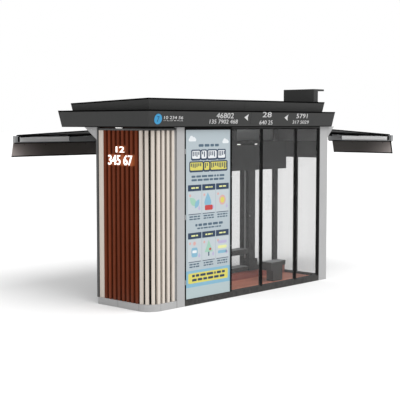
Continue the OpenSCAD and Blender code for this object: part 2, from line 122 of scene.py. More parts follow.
def add_bar(bm, low, high, ease, rounds=2):
    """A straight bar between two corners, with its edges eased."""
    low, high = Vector(low), Vector(high)
    place = Matrix.Translation((low + high) / 2) @ Matrix.Diagonal((*(high - low), 1))
    made = bmesh.ops.create_cube(bm, size=1, matrix=place)
    ease_edges(bm, edges_at(made["verts"]), ease, rounds)


def start_at_lowest(bm, face):
    """Makes a many-sided face anew from its lowest corner on, so that each run splits it the same way."""
    corners = list(face.verts)
    first = corners.index(min(corners, key=lambda corner: tuple(corner.co)))
    bm.faces.remove(face)
    bm.faces.new(corners[first:] + corners[:first])


def add_rod(bm, start, end, radius, sides, end_radius=None, ease=0):
    """A round bar from one point to another, with a smaller or larger far end where one is given."""
    start, end = Vector(start), Vector(end)
    along = end - start
    turn = UP.rotation_difference(along.normalized()).to_matrix().to_4x4()
    made = bmesh.ops.create_cone(
        bm, cap_ends=True, cap_tris=False, segments=sides, radius1=radius,
        radius2=radius if end_radius is None else end_radius, depth=along.length,
        matrix=Matrix.Translation((start + end) / 2) @ turn,
    )
    if ease:
        rims = [e for e in edges_at(made["verts"]) if e.is_manifold and e.calc_face_angle() > ROD_RIM]
        ease_edges(bm, rims, ease)
    for cap in [face for face in bm.faces if len(face.verts) > 4]:
        start_at_lowest(bm, cap)


def draw_out(bm, outline, along):
    """Draws a flat outline of points out along a vector to a closed solid, and returns its faces."""
    near = [bm.verts.new(p) for p in outline]
    far = [bm.verts.new(vert.co + Vector(along)) for vert in near]
    body = [bm.faces.new(near), bm.faces.new(far[::-1])]
    body += [bm.faces.new((near[i], near[i - 1], far[i - 1], far[i])) for i in range(len(near))]
    bmesh.ops.recalc_face_normals(bm, faces=body)
    return body


def add_prism(bm, outline, along, ease=0):
    """A solid drawn out of a flat outline, with its edges eased where that is asked for."""
    body = draw_out(bm, outline, along)
    if ease:
        ease_edges(bm, edges_of(body), ease)


def add_bolt(bm, seat, outward, size):
    """A hexagon head on its washer."""
    seat, outward = Vector(seat), Vector(outward).normalized()
    washer_t, washer_r, head_t, head_r, crown_r = (size * share for share in (0.14, 0.95, 0.5, 0.58, 0.52))
    add_rod(bm, seat, seat + outward * washer_t, washer_r, 16)
    add_rod(bm, seat + outward * washer_t, seat + outward * (washer_t + head_t), head_r, 6, crown_r)


def join(bm, part):
    """Adds a finished shape to another."""
    mesh = bpy.data.meshes.new("part")
    part.to_mesh(mesh)
    part.free()
    bm.from_mesh(mesh)
    bpy.data.meshes.remove(mesh)


def cad_shape(node, ease, rounds=2):
    """The CAD node's own shape as one clean mesh, with its sharp edges eased."""
    bm = merged(node)
    bmesh.ops.dissolve_limit(bm, angle_limit=FLAT, verts=bm.verts, edges=bm.edges)
    if ease:
        ease_edges(bm, sharp_edges(bm), ease, rounds)
    return bm


def middle(face):
    return face.calc_center_median()


def set_tone(bm, tone_of):
    """Gives each face a tone, from 0 to 1, by its middle."""
    layer = bm.faces.layers.float.new("tone")
    for face in bm.faces:
        face[layer] = tone_of(middle(face))


def scatter(index, shift):
    """A fixed, scattered number from 0 to 1 for each whole number. The constants only stir the digits."""
    return math.modf(abs(math.sin(index * 12.9898 + shift * 78.233) * 43758.5453))[0]


def put_in_order(elements, key):
    """Sorts a mesh's points, edges or faces."""
    rank = {element: n for n, element in enumerate(sorted(elements, key=key))}
    elements.sort(key=rank.get)
    elements.index_update()


def settle(bm):
    """Puts points, edges and faces in one fixed order, because rounding returns them in another each run."""
    def corners(element):
        return sorted(tuple(vert.co) for vert in element.verts)

    def facing(element):
        return [round(part, 3) for part in element.normal]

    bm.normal_update()
    put_in_order(bm.verts, lambda vert: (tuple(vert.co), facing(vert)))
    put_in_order(bm.edges, corners)
    put_in_order(bm.faces, lambda face: (corners(face), facing(face)))


def planted(name, data):
    """A new object in the scene."""
    obj = bpy.data.objects.new(name, data)
    bpy.context.scene.collection.objects.link(obj)
    return obj


def piece(name, bm, finish, stands_for=()):
    """Makes an object of a mesh under construction, and lets it ride on the shelter."""
    settle(bm)
    mesh = bpy.data.meshes.new(name)
    bm.to_mesh(mesh)
    bm.free()
    for one in finish if isinstance(finish, list) else [finish]:
        mesh.materials.append(one)
    mesh.shade_smooth()
    mesh.set_sharp_from_angle(angle=CREASE)
    obj = planted(name, mesh)
    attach(obj, "root")
    if stands_for:
        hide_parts(*stands_for)


def bar_piece(name, low, high, ease, finish):
    """A piece that is one straight bar."""
    bm = bmesh.new()
    add_bar(bm, low, high, ease)
    piece(name, bm, finish)


def add_written(bm, text, width, height, depth, place):
    """Plain figures of a given size, which face +Z before they are put in their place by their middle."""
    curve = bpy.data.curves.new("figures", "FONT")
    curve.body = text
    curve.extrude = 0.5
    curve.resolution_u = 3
    holder = planted("figures", curve)
    bpy.context.view_layer.update()
    mesh = bpy.data.meshes.new_from_object(holder.evaluated_get(bpy.context.evaluated_depsgraph_get()))
    figures = bmesh.new()
    figures.from_mesh(mesh)
    bpy.data.objects.remove(holder)
    bpy.data.curves.remove(curve)
    bpy.data.meshes.remove(mesh)
    verts = figures.verts
    bmesh.ops.remove_doubles(figures, verts=verts, dist=JOIN)
    lows, highs = limits(verts)
    bmesh.ops.translate(figures, verts=verts, vec=[-(low + high) / 2 for low, high in zip(lows, highs)])
    sizes = [high - low for low, high in zip(lows, highs)]
    shares = [want / size for want, size in zip((width, height, depth), sizes)]
    bmesh.ops.scale(figures, verts=verts, vec=shares)
    bmesh.ops.transform(figures, matrix=place, verts=verts)
    join(bm, figures)


# Shader groups


class Graph:
    """Nodes of one tree, each made with its settings and what feeds it."""

    def __init__(self, tree):
        self.tree = tree

    def node(self, kind, feeds=None, **settings):
        made = self.tree.nodes.new(kind)
        for key, value in settings.items():
            setattr(made, key, value)
        for key, value in (feeds or {}).items():
            self.feed(made.inputs[key], value)
        return made

    def feed(self, socket, value):
        if isinstance(value, bpy.types.NodeSocket):
            self.tree.links.new(value, socket)
        else:
            socket.default_value = value

    def group(self, tree, feeds):
        return self.node("ShaderNodeGroup", feeds, node_tree=tree).outputs

    def math(self, operation, first, second, clamp=False):
        feeds = {0: first, 1: second}
        return self.node("ShaderNodeMath", feeds, operation=operation, use_clamp=clamp).outputs[0]

    def vector(self, operation, first, second=(0, 0, 0)):
        return self.node("ShaderNodeVectorMath", {0: first, 1: second}, operation=operation).outputs

    def ramp(self, value, low, high, to_low=0.0, to_high=1.0):
        feeds = {"Value": value, "From Min": low, "From Max": high, "To Min": to_low, "To Max": to_high}
        return self.node("ShaderNodeMapRange", feeds).outputs["Result"]

    def mix(self, share, first, second, blend="MIX"):
        feeds = {"Factor": share, 6: first, 7: second}
        return self.node("ShaderNodeMix", feeds, data_type="RGBA", blend_type=blend).outputs[2]

    def shaded(self, colour, level):
        """A colour times a grey level."""
        grey = self.node("ShaderNodeCombineColor", {0: level, 1: level, 2: level}).outputs[0]
        return self.mix(1.0, colour, grey, "MULTIPLY")

    def swing(self, noise, amount):
        """Moves a noise's middle to 0 and gives it a size."""
        return self.math("MULTIPLY", self.math("SUBTRACT", noise, 0.5), amount)

    def noise(self, vector, scale, detail, roughness=0.5, distortion=0.0):
        feeds = {"Vector": vector, "Scale": scale, "Detail": detail, "Roughness": roughness}
        return self.node("ShaderNodeTexNoise", {**feeds, "Distortion": distortion}).outputs["Fac"]

    def attribute(self, name, output):
        return self.node("ShaderNodeAttribute", attribute_name=name).outputs[output]

    def own(self):
        """Object coordinates."""
        return self.node("ShaderNodeTexCoord").outputs["Object"]

    def place(self, scale=(1, 1, 1), location=(0, 0, 0)):
        """Object coordinates, scaled and moved."""
        feeds = {"Vector": self.own(), "Scale": scale, "Location": location}
        return self.node("ShaderNodeMapping", feeds).outputs["Vector"]

    def axes(self):
        """Object coordinates, one output for each axis."""
        return self.node("ShaderNodeSeparateXYZ", {0: self.own()}).outputs

    def bump(self, height, strength, distance):
        feeds = {"Strength": strength, "Distance": distance, "Height": height}
        return self.node("ShaderNodeBump", feeds).outputs[0]


def shader_group(name, inputs, outputs):
    """A new shader node group with float, colour and vector sockets.

    Returns its graph, what comes in, and a function to send a result out."""
    group = bpy.data.node_groups.new(name, "ShaderNodeTree")
    kinds = {"value": "NodeSocketFloat", "color": "NodeSocketColor", "vector": "NodeSocketVector"}
    for socket, (kind, default) in inputs.items():
        made = group.interface.new_socket(socket, in_out="INPUT", socket_type=kinds[kind])
        if default is not None:
            made.default_value = default
    for socket, kind in outputs.items():
        group.interface.new_socket(socket, in_out="OUTPUT", socket_type=kinds[kind])
    graph = Graph(group)
    way_in = graph.node("NodeGroupInput").outputs
    way_out = graph.node("NodeGroupOutput").inputs
    return graph, way_in, lambda socket, value: graph.feed(way_out[socket], value)


DUST_COLOUR = (0.42, 0.39, 0.35, 1)
# Dust thins out up to this height
DUST_TOP = 0.5


def make_weather():
    """Tone drift over large panels, faint rain streaks, and dust that gathers near the ground."""
    g, given, send = shader_group(
        "weather",
        {"Color": ("color", (0.5, 0.5, 0.5, 1)), "Drift": ("value", 0.04), "Streaks": ("value", 0.03),
         "Dust": ("value", 0.15), "Roughness": ("value", 0.5)},
        {"Color": "color", "Roughness": "value"},
    )
    drift = g.noise(g.place(), 1.7, 3.0, 0.55)
    fine = g.noise(g.place((1, 1, 0.5), (3, 1, 7)), 26.0, 2.0, 0.6)
    streaks = g.noise(g.place((30, 30, 0.8), (5, 2, 0)), 1.0, 2.0, 0.6)
    tone = g.math("ADD", 1.0, g.swing(drift, g.math("MULTIPLY", given["Drift"], 2)))
    tone = g.math("ADD", tone, g.swing(streaks, g.math("MULTIPLY", given["Streaks"], 2)))
    low = g.math("POWER", g.ramp(g.axes()["Z"], 0.0, DUST_TOP, 1.0, 0.0), 2.2)
    dust = g.math("MULTIPLY", g.math("MULTIPLY", low, g.ramp(fine, 0.3, 0.75)), given["Dust"], clamp=True)
    send("Color", g.mix(dust, g.shaded(given["Color"], tone), DUST_COLOUR))
    rough = g.math("ADD", given["Roughness"], g.swing(fine, 0.12))
    send("Roughness", g.math("ADD", rough, g.math("MULTIPLY", dust, 0.3), clamp=True))
    return g.tree


def make_coat_skin():
    """The fine ripple of a powder coat over a broad, shallow wave, as a height."""
    g, given, send = shader_group("coat skin", {"Depth": ("value", 1.0)}, {"Height": "value"})
    ripple = g.noise(g.place(), 260.0, 1.0)
    broad = g.noise(g.place((1, 1, 1), (2, 4, 1)), 7.0, 1.0)
    height = g.math("ADD", g.math("MULTIPLY", ripple, 0.35), broad)
    send("Height", g.math("MULTIPLY", height, given["Depth"]))
    return g.tree


def make_timber():
    """Long grain with pores and darker bands, and one tone for each board."""
    g, given, send = shader_group(
        "timber",
        {"Vector": ("vector", None), "Light": ("color", (0.4, 0.16, 0.08, 1)),
         "Dark": ("color", (0.2, 0.07, 0.03, 1)), "Tone": ("value", 0.5), "Contrast": ("value", 0.5)},
        {"Color": "color", "Roughness": "value", "Height": "value"},
    )
    bands = g.noise(given["Vector"], 1.0, 3.0, 0.55, 0.6)
    fibre = g.noise(given["Vector"], 6.0, 4.0, 0.65, 0.2)
    pores = g.noise(given["Vector"], 22.0, 2.0, 0.7)
    grain = g.math("ADD", g.math("MULTIPLY", bands, 0.6), g.math("MULTIPLY", fibre, 0.4))
    share = g.math("MULTIPLY", g.ramp(grain, 0.36, 0.66), given["Contrast"])
    colour = g.mix(share, given["Light"], given["Dark"])
    send("Color", g.shaded(colour, g.ramp(given["Tone"], 0.0, 1.0, 0.82, 1.16)))
    send("Roughness", g.ramp(fibre, 0.3, 0.7, 0.42, 0.62))
    send("Height", g.math("SUBTRACT", fibre, g.math("MULTIPLY", g.ramp(pores, 0.6, 0.8), 0.5)))
    return g.tree


def make_brushed():
    """Hair lines of drawn or brushed metal along one direction."""
    g, given, send = shader_group(
        "brushed",
        {"Vector": ("vector", None), "Color": ("color", (0.5, 0.5, 0.5, 1)), "Depth": ("value", 0.1)},
        {"Color": "color", "Roughness": "value", "Height": "value"},
    )
    lines = g.noise(given["Vector"], 40.0, 3.0, 0.7)
    send("Color", g.shaded(given["Color"], g.ramp(lines, 0.3, 0.7, 0.94, 1.05)))
    send("Roughness", g.ramp(lines, 0.3, 0.7, 0.3, 0.42))
    send("Height", g.math("MULTIPLY", lines, given["Depth"]))
    return g.tree


WEATHER = make_weather()
COAT_SKIN = make_coat_skin()
TIMBER = make_timber()
BRUSHED = make_brushed()


# Finishes


def new_material(name):
    """An empty material. Returns it with its graph."""
    made = bpy.data.materials.new(name)
    made.use_nodes = True
    made.node_tree.nodes.clear()
    return made, Graph(made.node_tree)


def close_material(g, feeds):
    """A Principled shader with these inputs, sent to the surface."""
    shader = g.node("ShaderNodeBsdfPrincipled", feeds)
    g.node("ShaderNodeOutputMaterial", {"Surface": shader.outputs[0]})


def lengthwise(g, axis, across, along):
    """Object coordinates scaled for a grain or hair line along one axis."""
    return g.place(tuple(along if letter == axis else across for letter in "XYZ"))


def coat(name, colour, roughness, gloss, dust, drift=0.04, streaks=0.02, skin=1.0):
    """Powder coated metal."""
    made, g = new_material(name)
    aged = g.group(WEATHER, {
        "Color": (*colour, 1), "Drift": drift, "Streaks": streaks, "Dust": dust, "Roughness": roughness,
    })
    ripple = g.group(COAT_SKIN, {"Depth": skin})
    close_material(g, {
        "Base Color": aged["Color"], "Roughness": aged["Roughness"], "Specular IOR Level": gloss,
        "Normal": g.bump(ripple["Height"], 0.08, 0.4 * MM),
    })
    return made


def timber(name, light, dark, axis, contrast=0.5, gloss=0.3, glow=None):
    """Stained boards with their grain along one axis.

    A glow is a function that gives the light of lit figures near them."""
    made, g = new_material(name)
    grain = g.group(TIMBER, {
        "Vector": lengthwise(g, axis, 46.0, 1.6), "Light": (*light, 1), "Dark": (*dark, 1),
        "Tone": g.attribute("tone", "Fac"), "Contrast": contrast,
    })
    aged = g.group(WEATHER, {
        "Color": grain["Color"], "Drift": 0.05, "Streaks": 0.0, "Dust": 0.1, "Roughness": grain["Roughness"],
    })
    feeds = {
        "Base Color": aged["Color"], "Roughness": aged["Roughness"], "Specular IOR Level": gloss,
        "Normal": g.bump(grain["Height"], 0.25, 0.5 * MM),
    }
    if glow:
        feeds["Emission Color"] = glow(g)
        feeds["Emission Strength"] = 1.0
    close_material(g, feeds)
    return made


def brushed(name, colour, axis, metallic=0.0):
    """Drawn metal with a satin finish."""
    made, g = new_material(name)
    lines = g.group(BRUSHED, {"Vector": lengthwise(g, axis, 14.0, 0.5), "Color": (*colour, 1), "Depth": 0.2})
    aged = g.group(WEATHER, {
        "Color": lines["Color"], "Drift": 0.04, "Streaks": 0.02, "Dust": 0.1, "Roughness": lines["Roughness"],
    })
    close_material(g, {
        "Base Color": aged["Color"], "Roughness": aged["Roughness"], "Metallic": metallic,
        "Normal": g.bump(lines["Height"], 0.1, 0.2 * MM),
    })
    return made


def clear_glass(name, tint):
    """Safety glass that lets light from lamps and walls through to what stands behind it."""
    made, g = new_material(name)
    smear = g.ramp(g.noise(g.place((1, 1, 0.6)), 5.0, 3.0, 0.6), 0.45, 0.75, 0.0, 0.03)
    shader = g.node("ShaderNodeBsdfPrincipled", {
        "Base Color": (tint, tint, tint, 1), "Roughness": smear, "Transmission Weight": 1.0, "IOR": 1.3,
    })
    open_side = g.node("ShaderNodeBsdfTransparent", {"Color": (0.9, 0.92, 0.92, 1)})
    path = g.node("ShaderNodeLightPath").outputs
    passes = g.math("MAXIMUM", path["Is Shadow Ray"], path["Is Diffuse Ray"])
    mixed = g.node("ShaderNodeMixShader", {0: passes, 1: shader.outputs[0], 2: open_side.outputs[0]})
    g.node("ShaderNodeOutputMaterial", {"Surface": mixed.outputs[0]})
    return made


# Between these heights the smoked sheet turns lighter towards its foot, as painted light
FOOT_LIGHT_START, FOOT_LIGHT_FULL = 2.32, 2.12


def smoked(name, colour, painted_light_colour, axis, end, reach):
    """Smoked sheet with painted light: its colour turns lighter towards one end, and a little towards its lower
    edge, where more light reaches it.
    """
    made, g = new_material(name)
    place = g.axes()
    # Painted light: lighter towards the open end and towards the foot, where more light reaches the sheet's
    # inner face; the patches vary it at random
    side = g.math("POWER", g.ramp(place[axis], end, end + reach, 1.0, 0.0), 3.0)
    patchy = g.ramp(g.noise(g.place(), 9.0, 2.0), 0.2, 0.8, 0.9, 1.1)
    low = g.ramp(place["Z"], FOOT_LIGHT_START, FOOT_LIGHT_FULL)
    painted_light_share = g.math("MULTIPLY", g.math("MULTIPLY", side, patchy), g.ramp(low, 0.0, 1.0, 0.3, 1.0))
    painted_light_share = g.math("ADD", painted_light_share, g.math("MULTIPLY", low, 0.03), clamp=True)
    close_material(g, {
        "Base Color": g.mix(painted_light_share, (*colour, 1), (*painted_light_colour, 1)),
        "Roughness": g.ramp(patchy, 0.9, 1.1, 0.28, 0.4), "Specular IOR Level": 0.25,
    })
    return made


def printed(name):
    """Printed film: each shape's own ink, with a faint speckle, under a clear cover."""
    made, g = new_material(name)
    speckle = g.ramp(g.noise(g.place(), 400.0, 1.0), 0.3, 0.7, 0.97, 1.02)
    waves = g.noise(g.place(), 2.5, 1.0)
    close_material(g, {
        "Base Color": g.shaded(g.attribute("ink", "Color"), speckle),
        "Roughness": g.ramp(waves, 0.3, 0.7, 0.3, 0.36), "Specular IOR Level": 0.3,
        "Normal": g.bump(waves, 0.05, 2 * MM),
    })
    return made


def lit(name, colour, strength, base=0.8):
    """A diffuser lit from inside, a little brighter in patches."""
    made, g = new_material(name)
    patches = g.ramp(g.noise(g.place(), 30.0, 1.0), 0.3, 0.7, 0.96, 1.04)
    close_material(g, {
        "Base Color": g.shaded((base, base, base, 1), patches),
        "Roughness": g.ramp(patches, 0.96, 1.04, 0.4, 0.5),
        "Emission Color": g.shaded((*colour, 1), patches), "Emission Strength": strength,
    })
    return made


def spread_of(g, middle, half, reach):
    """How near a point is to a box, from 1 inside it to 0 at a reach away."""
    size = g.vector("ABSOLUTE", g.vector("SUBTRACT", g.own(), middle)[0])[0]
    clear = g.vector("MAXIMUM", g.vector("SUBTRACT", size, half)[0])[0]
    far = g.vector("LENGTH", clear)["Value"]
    return g.math("POWER", g.ramp(far, 0.0, reach, 1.0, 0.0), 2.0)


# Places that many pieces share

plinth = span("plinth")
LEFT, FRONT = plinth.x0, plinth.y0

sign = span("lit_sign")
SIGN_X, SIGN_Y = (sign.x0 + sign.x1) / 2, (sign.y0 + sign.y1) / 2
# Each line of the lit sign: height of its middle, text, width and height
SIGN_LINES = ((2.284, "12", 0.17, 0.085), (2.132, "345 67", 0.50, 0.14))
GLOW_REACH = 0.024
GLOW_COLOUR = (0.20, 0.058, 0.02, 1)


def sign_glow(g):
    """Warm light round both lines of the lit figures."""
    total = 0.0
    for z, _, width, height in SIGN_LINES:
        near = spread_of(g, (sign.x1, SIGN_Y, z), (0.1, width / 2, height / 2), GLOW_REACH)
        total = g.math("ADD", total, near, clamp=True)
    return g.shaded(GLOW_COLOUR, total)


# Each coat: its name, colour, roughness and gloss, and how much dust lies on its foot
LIGHT_COAT = coat("light grey coat", (0.42, 0.42, 0.422), 0.5, 0.25, 0.08)
SLAT_CREAM = coat("cream slat coat", (0.66, 0.595, 0.53), 0.5, 0.25, 0.05)
BACKING = coat("dark backing coat", (0.018, 0.0165, 0.014), 0.7, 0.15, 0.0)
BACKING_LOW = coat("black lower backing", (0.0035, 0.0035, 0.0035), 0.8, 0.05, 0.0)
LINING = coat("inner lining coat", (0.30, 0.30, 0.29), 0.55, 0.3, 0.05)
BLACK_FRAME = coat("black frame coat", (0.003, 0.003, 0.003), 0.55, 0.05, 0.05)
RAIL_GREY = coat("sill coat", (0.026, 0.026, 0.026), 0.5, 0.2, 0.12)
GREY_FRAME = coat("dark grey frame coat", (0.031, 0.031, 0.031), 0.55, 0.15, 0.05)
PANEL_GREY = coat("grey panel coat", (0.044, 0.044, 0.044), 0.5, 0.2, 0.05)
TRANSOM_GREY = coat("grey transom panes", (0.145, 0.145, 0.146), 0.35, 0.3, 0.0, skin=0.3)
TRANSOM_LIGHT = coat("light grey transom panes", (0.44, 0.44, 0.443), 0.35, 0.3, 0.0, skin=0.3)
JAMB_GREY = coat("jamb coat", (0.085, 0.086, 0.086), 0.5, 0.25, 0.1)
ROOF_COAT = coat("roof coat", (0.041, 0.0415, 0.041), 0.55, 0.18, 0.0, streaks=0.03)
BLACK_TRIM = coat("black trim", (0.0025, 0.0025, 0.0025), 0.8, 0.02, 0.0)
AWNING_SHADE_COAT = coat("awning sheet coat with painted shade", (0.003, 0.003, 0.003), 0.8, 0.03, 0.0)
AWNING_TOP = coat("awning top coat", (0.022, 0.0225, 0.022), 0.6, 0.15, 0.12, drift=0.2)
BRACKET_COAT = coat("bracket coat", (0.40, 0.40, 0.402), 0.5, 0.25, 0.08)
WEDGE_GREY = coat("wedge coat", (0.05, 0.05, 0.05), 0.6, 0.2, 0.0)
SEAT_COAT = coat("seat shell", (0.043, 0.043, 0.042), 0.6, 0.25, 0.05)
SEAT_TOP = coat("seat top", (0.275, 0.275, 0.275), 0.6, 0.3, 0.05)
RUBBER = coat("black rubber", (0.006, 0.006, 0.006), 0.8, 0.1, 0.05, skin=2.0)
WHITE_FILM = coat("white film", (0.66, 0.66, 0.66), 0.4, 0.3, 0.0, skin=0.2)
BLUE_FILM = coat("blue film", (0.035, 0.29, 0.55), 0.35, 0.35, 0.0, drift=0.25, skin=0.2)
NAVY_FILM = coat("navy film", (0.008, 0.022, 0.045), 0.4, 0.3, 0.0, skin=0.2)
LAMP_LIP = coat("lamp housing", (0.80, 0.80, 0.80), 0.4, 0.4, 0.0)

ALUMINIUM_X = brushed("drawn aluminium along x", (0.27, 0.275, 0.28), "X")
ALUMINIUM_Y = brushed("drawn aluminium along y", (0.27, 0.275, 0.28), "Y")
STEEL = brushed("stainless steel", (0.5, 0.5, 0.5), "Z", metallic=0.8)

RED_TIMBER = timber(
    "red slat timber", (0.195, 0.044, 0.017), (0.100, 0.019, 0.007), "Z",
    contrast=0.6, gloss=0.06, glow=sign_glow,
)
RED_BACKING = timber("red backing timber", (0.035, 0.006, 0.002), (0.02, 0.003, 0.001), "Z", glow=sign_glow)
DECK = timber("deck boards", (0.72, 0.25, 0.158), (0.43, 0.123, 0.073), "X", contrast=0.7, gloss=0.15)
# The kick board is the deck's timber, painted darker as shade under the window ledge
SHADED_KICK_TIMBER = timber("kick board", (0.48, 0.125, 0.090), (0.29, 0.071, 0.050), "X", contrast=0.6, gloss=0.15)

GLASS = clear_glass("clear glass", 0.81)
PRINT = printed("printed film")
# Two copies of one lamp diffuser. Both glow as lamps. The end awning's copy is paler and glows more, as painted
# light for the light that falls on it. The back awning's copy is darker and glows less, as painted shade for
# the building's shade over it
LAMP_PAINTED_SHADE = lit("lamp diffuser, shaded copy", (1, 1, 1), 0.08, base=0.62)
LAMP_PAINTED_LIGHT = lit("lamp diffuser, lit copy", (1, 1, 1), 0.28, base=0.66)
LAMP_LIT = lit("lit lens", (1.0, 0.98, 0.95), 1.3)
SIGN_LIT = lit("lit figures", (1.0, 0.97, 0.93), 1.15)

SMOKED_BACK = smoked(
    "smoked sheet of the back awning with painted light", (0.044, 0.036, 0.031), (0.58, 0.51, 0.49),
    "X", span("back_awning_skirt").x0, 0.95,
)
SMOKED_END = smoked(
    "smoked sheet of the end awning with painted light", (0.045, 0.040, 0.036), (0.55, 0.49, 0.47),
    "Y", span("end_awning_skirt").y0, 0.90,
)


# Pieces whose CAD shape needs eased edges and its finish, or finishes chosen by place

HEADER_TOP = span("back_transom").z1
# Below this level the wall behind the slats is black
LOW_BACKING_Z = 0.81
EDGE_TRIM = 22 * MM
SKIRT_EDGE = 20 * MM
BEAM_D, BEAM_H = 0.06, 0.105


def is_inner(face):
    """True for a face of the corner wall that looks into the room."""
    into = Vector((0, 0, middle(face).z)) - middle(face)
    return face.normal.dot(into.normalized()) > 0.3 and abs(face.normal.z) < 0.5


def dress(node, ease, finish, choose=None, scores=(), rounds=2, ending="_shell"):
    """A CAD node's own shape under its finish.

    Choose picks each face's finish from a list. Scores are planes, each a point and a normal, along which edges
    are added first."""
    bm = cad_shape(node, ease, rounds)
    for point, normal in scores:
        geom = bm.verts[:] + bm.edges[:] + bm.faces[:]
        bmesh.ops.bisect_plane(bm, geom=geom, plane_co=point, plane_no=normal)
    if choose:
        for face in bm.faces:
            face.material_index = int(choose(face))
    piece(node + ending, bm, finish, stands_for=[node])


for node, (ease, finish, slot) in {
    "plinth": (3 * MM, LIGHT_COAT, "light_panel"),
    "rear_jamb": (2 * MM, JAMB_GREY, "grey_frame"),
    "slat_rail": (1.5 * MM, JAMB_GREY, "light_panel"),
    "beige_slats": (5 * MM, SLAT_CREAM, "beige_slats"),
    "front_post": (4 * MM, LIGHT_COAT, "light_panel"),
    "front_column": (4 * MM, LIGHT_COAT, "light_panel"),
    "front_rails": (2 * MM, RAIL_GREY, "dark_frame"),
    "front_mullions": (2 * MM, BLACK_FRAME, "dark_frame"),
    "poster_case": (2 * MM, BLACK_FRAME, "dark_frame"),
    "room_sills": (2 * MM, RAIL_GREY, "dark_frame"),
    "end_frame": (2 * MM, GREY_FRAME, "grey_frame"),
    "back_posts": (3 * MM, GREY_FRAME, "grey_frame"),
    "back_transom": (2 * MM, GREY_FRAME, "grey_frame"),
    "kick_board": (1 * MM, SHADED_KICK_TIMBER, "deck_boards"),
    "header_box": (2 * MM, GREY_FRAME, "grey_frame"),
    "service_column": (2 * MM, GREY_FRAME, "grey_frame"),
    "ceiling": (1 * MM, ROOF_COAT, "roof_metal"),
    "roof_ledge": (1 * MM, ROOF_COAT, "roof_metal"),
    "crown_sheet": (1 * MM, ROOF_COAT, "roof_metal"),
    "awning_brackets": (1 * MM, BRACKET_COAT, "light_panel"),
}.items():
    dress(node, ease, finish)

# The sheets are dark. Their top faces take the top coat, and their other faces, the underside above all, are
# near black as painted shade
for node in ("back_awning_sheet", "end_awning_sheet"):
    dress(node, 2 * MM, [AWNING_SHADE_COAT, AWNING_TOP], lambda face: face.normal.z > 0.9)

# Smoked sheets with a black lower edge, and a black front end on the end awning's sheet
for node, smoke in (("back_awning_skirt", SMOKED_BACK), ("end_awning_skirt", SMOKED_END)):
    skirt = span(node)
    edges = [(Vector((0, 0, skirt.z0 + SKIRT_EDGE)), UP)]
    if node == "end_awning_skirt":
        edges.append((Vector((0, skirt.y0 + SKIRT_EDGE, 0)), -OUT_FRONT))
    dress(node, 1 * MM, [smoke, BLACK_TRIM],
          lambda face: any((middle(face) - point).dot(normal) < 0 for point, normal in edges), edges)

bm = cad_shape("red_slats", 4 * MM)
starts = [part.y0 for part in parts_of("red_slats")]
set_tone(bm, lambda place: scatter(sum(start < place.y for start in starts), 3))
piece("red_slats_timber", bm, RED_TIMBER, stands_for=["red_slats"])

dress("left_wall", 1 * MM, [RED_BACKING, LINING], lambda face: face.normal.x > 0.5)
dress("corner_wall", 1 * MM, [BACKING, BACKING_LOW, LINING],
      lambda face: 2 if is_inner(face) else middle(face).z < LOW_BACKING_Z, [((0, 0, LOW_BACKING_Z), UP)])

for node, slot in (("perch_seat", "seat_grey"), ("stool", "seat_grey"), ("window_ledge", "grey_frame")):
    dress(node, 5 * MM, [SEAT_COAT, SEAT_TOP], lambda face: face.normal.z > 0.7, rounds=3)

# The panes over the header are grey
for node, upper in (("back_glass", TRANSOM_LIGHT), ("end_glass", TRANSOM_GREY)):
    dress(node, 0, [GLASS, upper],
          lambda face: middle(face).z > HEADER_TOP - 0.05, ending="_panes")
dress("front_glass", 0, GLASS, ending="_panes")

roof = span("roof_fascia")
# The black band along the fascia's top is a trim. The black band along its foot is a drip edge painted black as
# shade, where the shadow under the fascia starts
foot_shade_z, trim_high = roof.z0 + EDGE_TRIM / 2, roof.z1 - EDGE_TRIM
dress("roof_fascia", 2 * MM, [ROOF_COAT, BLACK_TRIM],
      lambda face: not foot_shade_z < middle(face).z < trim_high, [((0, 0, trim_high), UP), ((0, 0, foot_shade_z), UP)])

crown = span("crown_fascia")
# How much the crown falls from its front to its back
CROWN_FALL = 0.054
crown_slope = Vector((0, CROWN_FALL, crown.y1 - crown.y0)).normalized()
crown_edge = Vector((0, crown.y0, crown.z1 - EDGE_TRIM))
dress("crown_fascia", 2 * MM, [ROOF_COAT, BLACK_TRIM],
      lambda face: (middle(face) - crown_edge).dot(crown_slope) > 0, [(crown_edge, crown_slope)])
dress("roof_cowl", 1 * MM, ROOF_COAT)
dress("cowl_cap", 2 * MM, ROOF_COAT)

# The outer beams are bare aluminium and the arms that carry them are black
for node, axis, metal in (("back_awning_frame", 1, ALUMINIUM_X), ("end_awning_frame", 0, ALUMINIUM_Y)):
    beam_inner = span(node)[3 + axis] - BEAM_D - 0.5 * MM
    dress(node, 2 * MM, [metal, BLACK_TRIM], lambda face: middle(face)[axis] < beam_inner)


# Floor boards, cut from the deck's own outline

deck = span("floor_deck")
BOARD_W = 98.5 * MM
BOARD_GAP = 4 * MM
END_GAP = 2 * MM
# The boards' end joints lie this far along the deck, scattered over the reach
JOINT_FROM, JOINT_REACH = 1.15, 1.5


def keep_between(bm, axis, low, high):
    """Trims a shape to what lies between two planes square to an axis, and closes the cuts."""
    normal = Vector((0, 0, 0))
    normal[axis] = 1
    for value, outer in ((high, True), (low, False)):
        geom = bm.verts[:] + bm.edges[:] + bm.faces[:]
        cut = bmesh.ops.bisect_plane(
            bm, geom=geom, plane_co=normal * value, plane_no=normal, clear_outer=outer, clear_inner=not outer,
        )
        rims = [e for e in cut["geom_cut"] if isinstance(e, bmesh.types.BMEdge)]
        bmesh.ops.holes_fill(bm, edges=rims, sides=0)


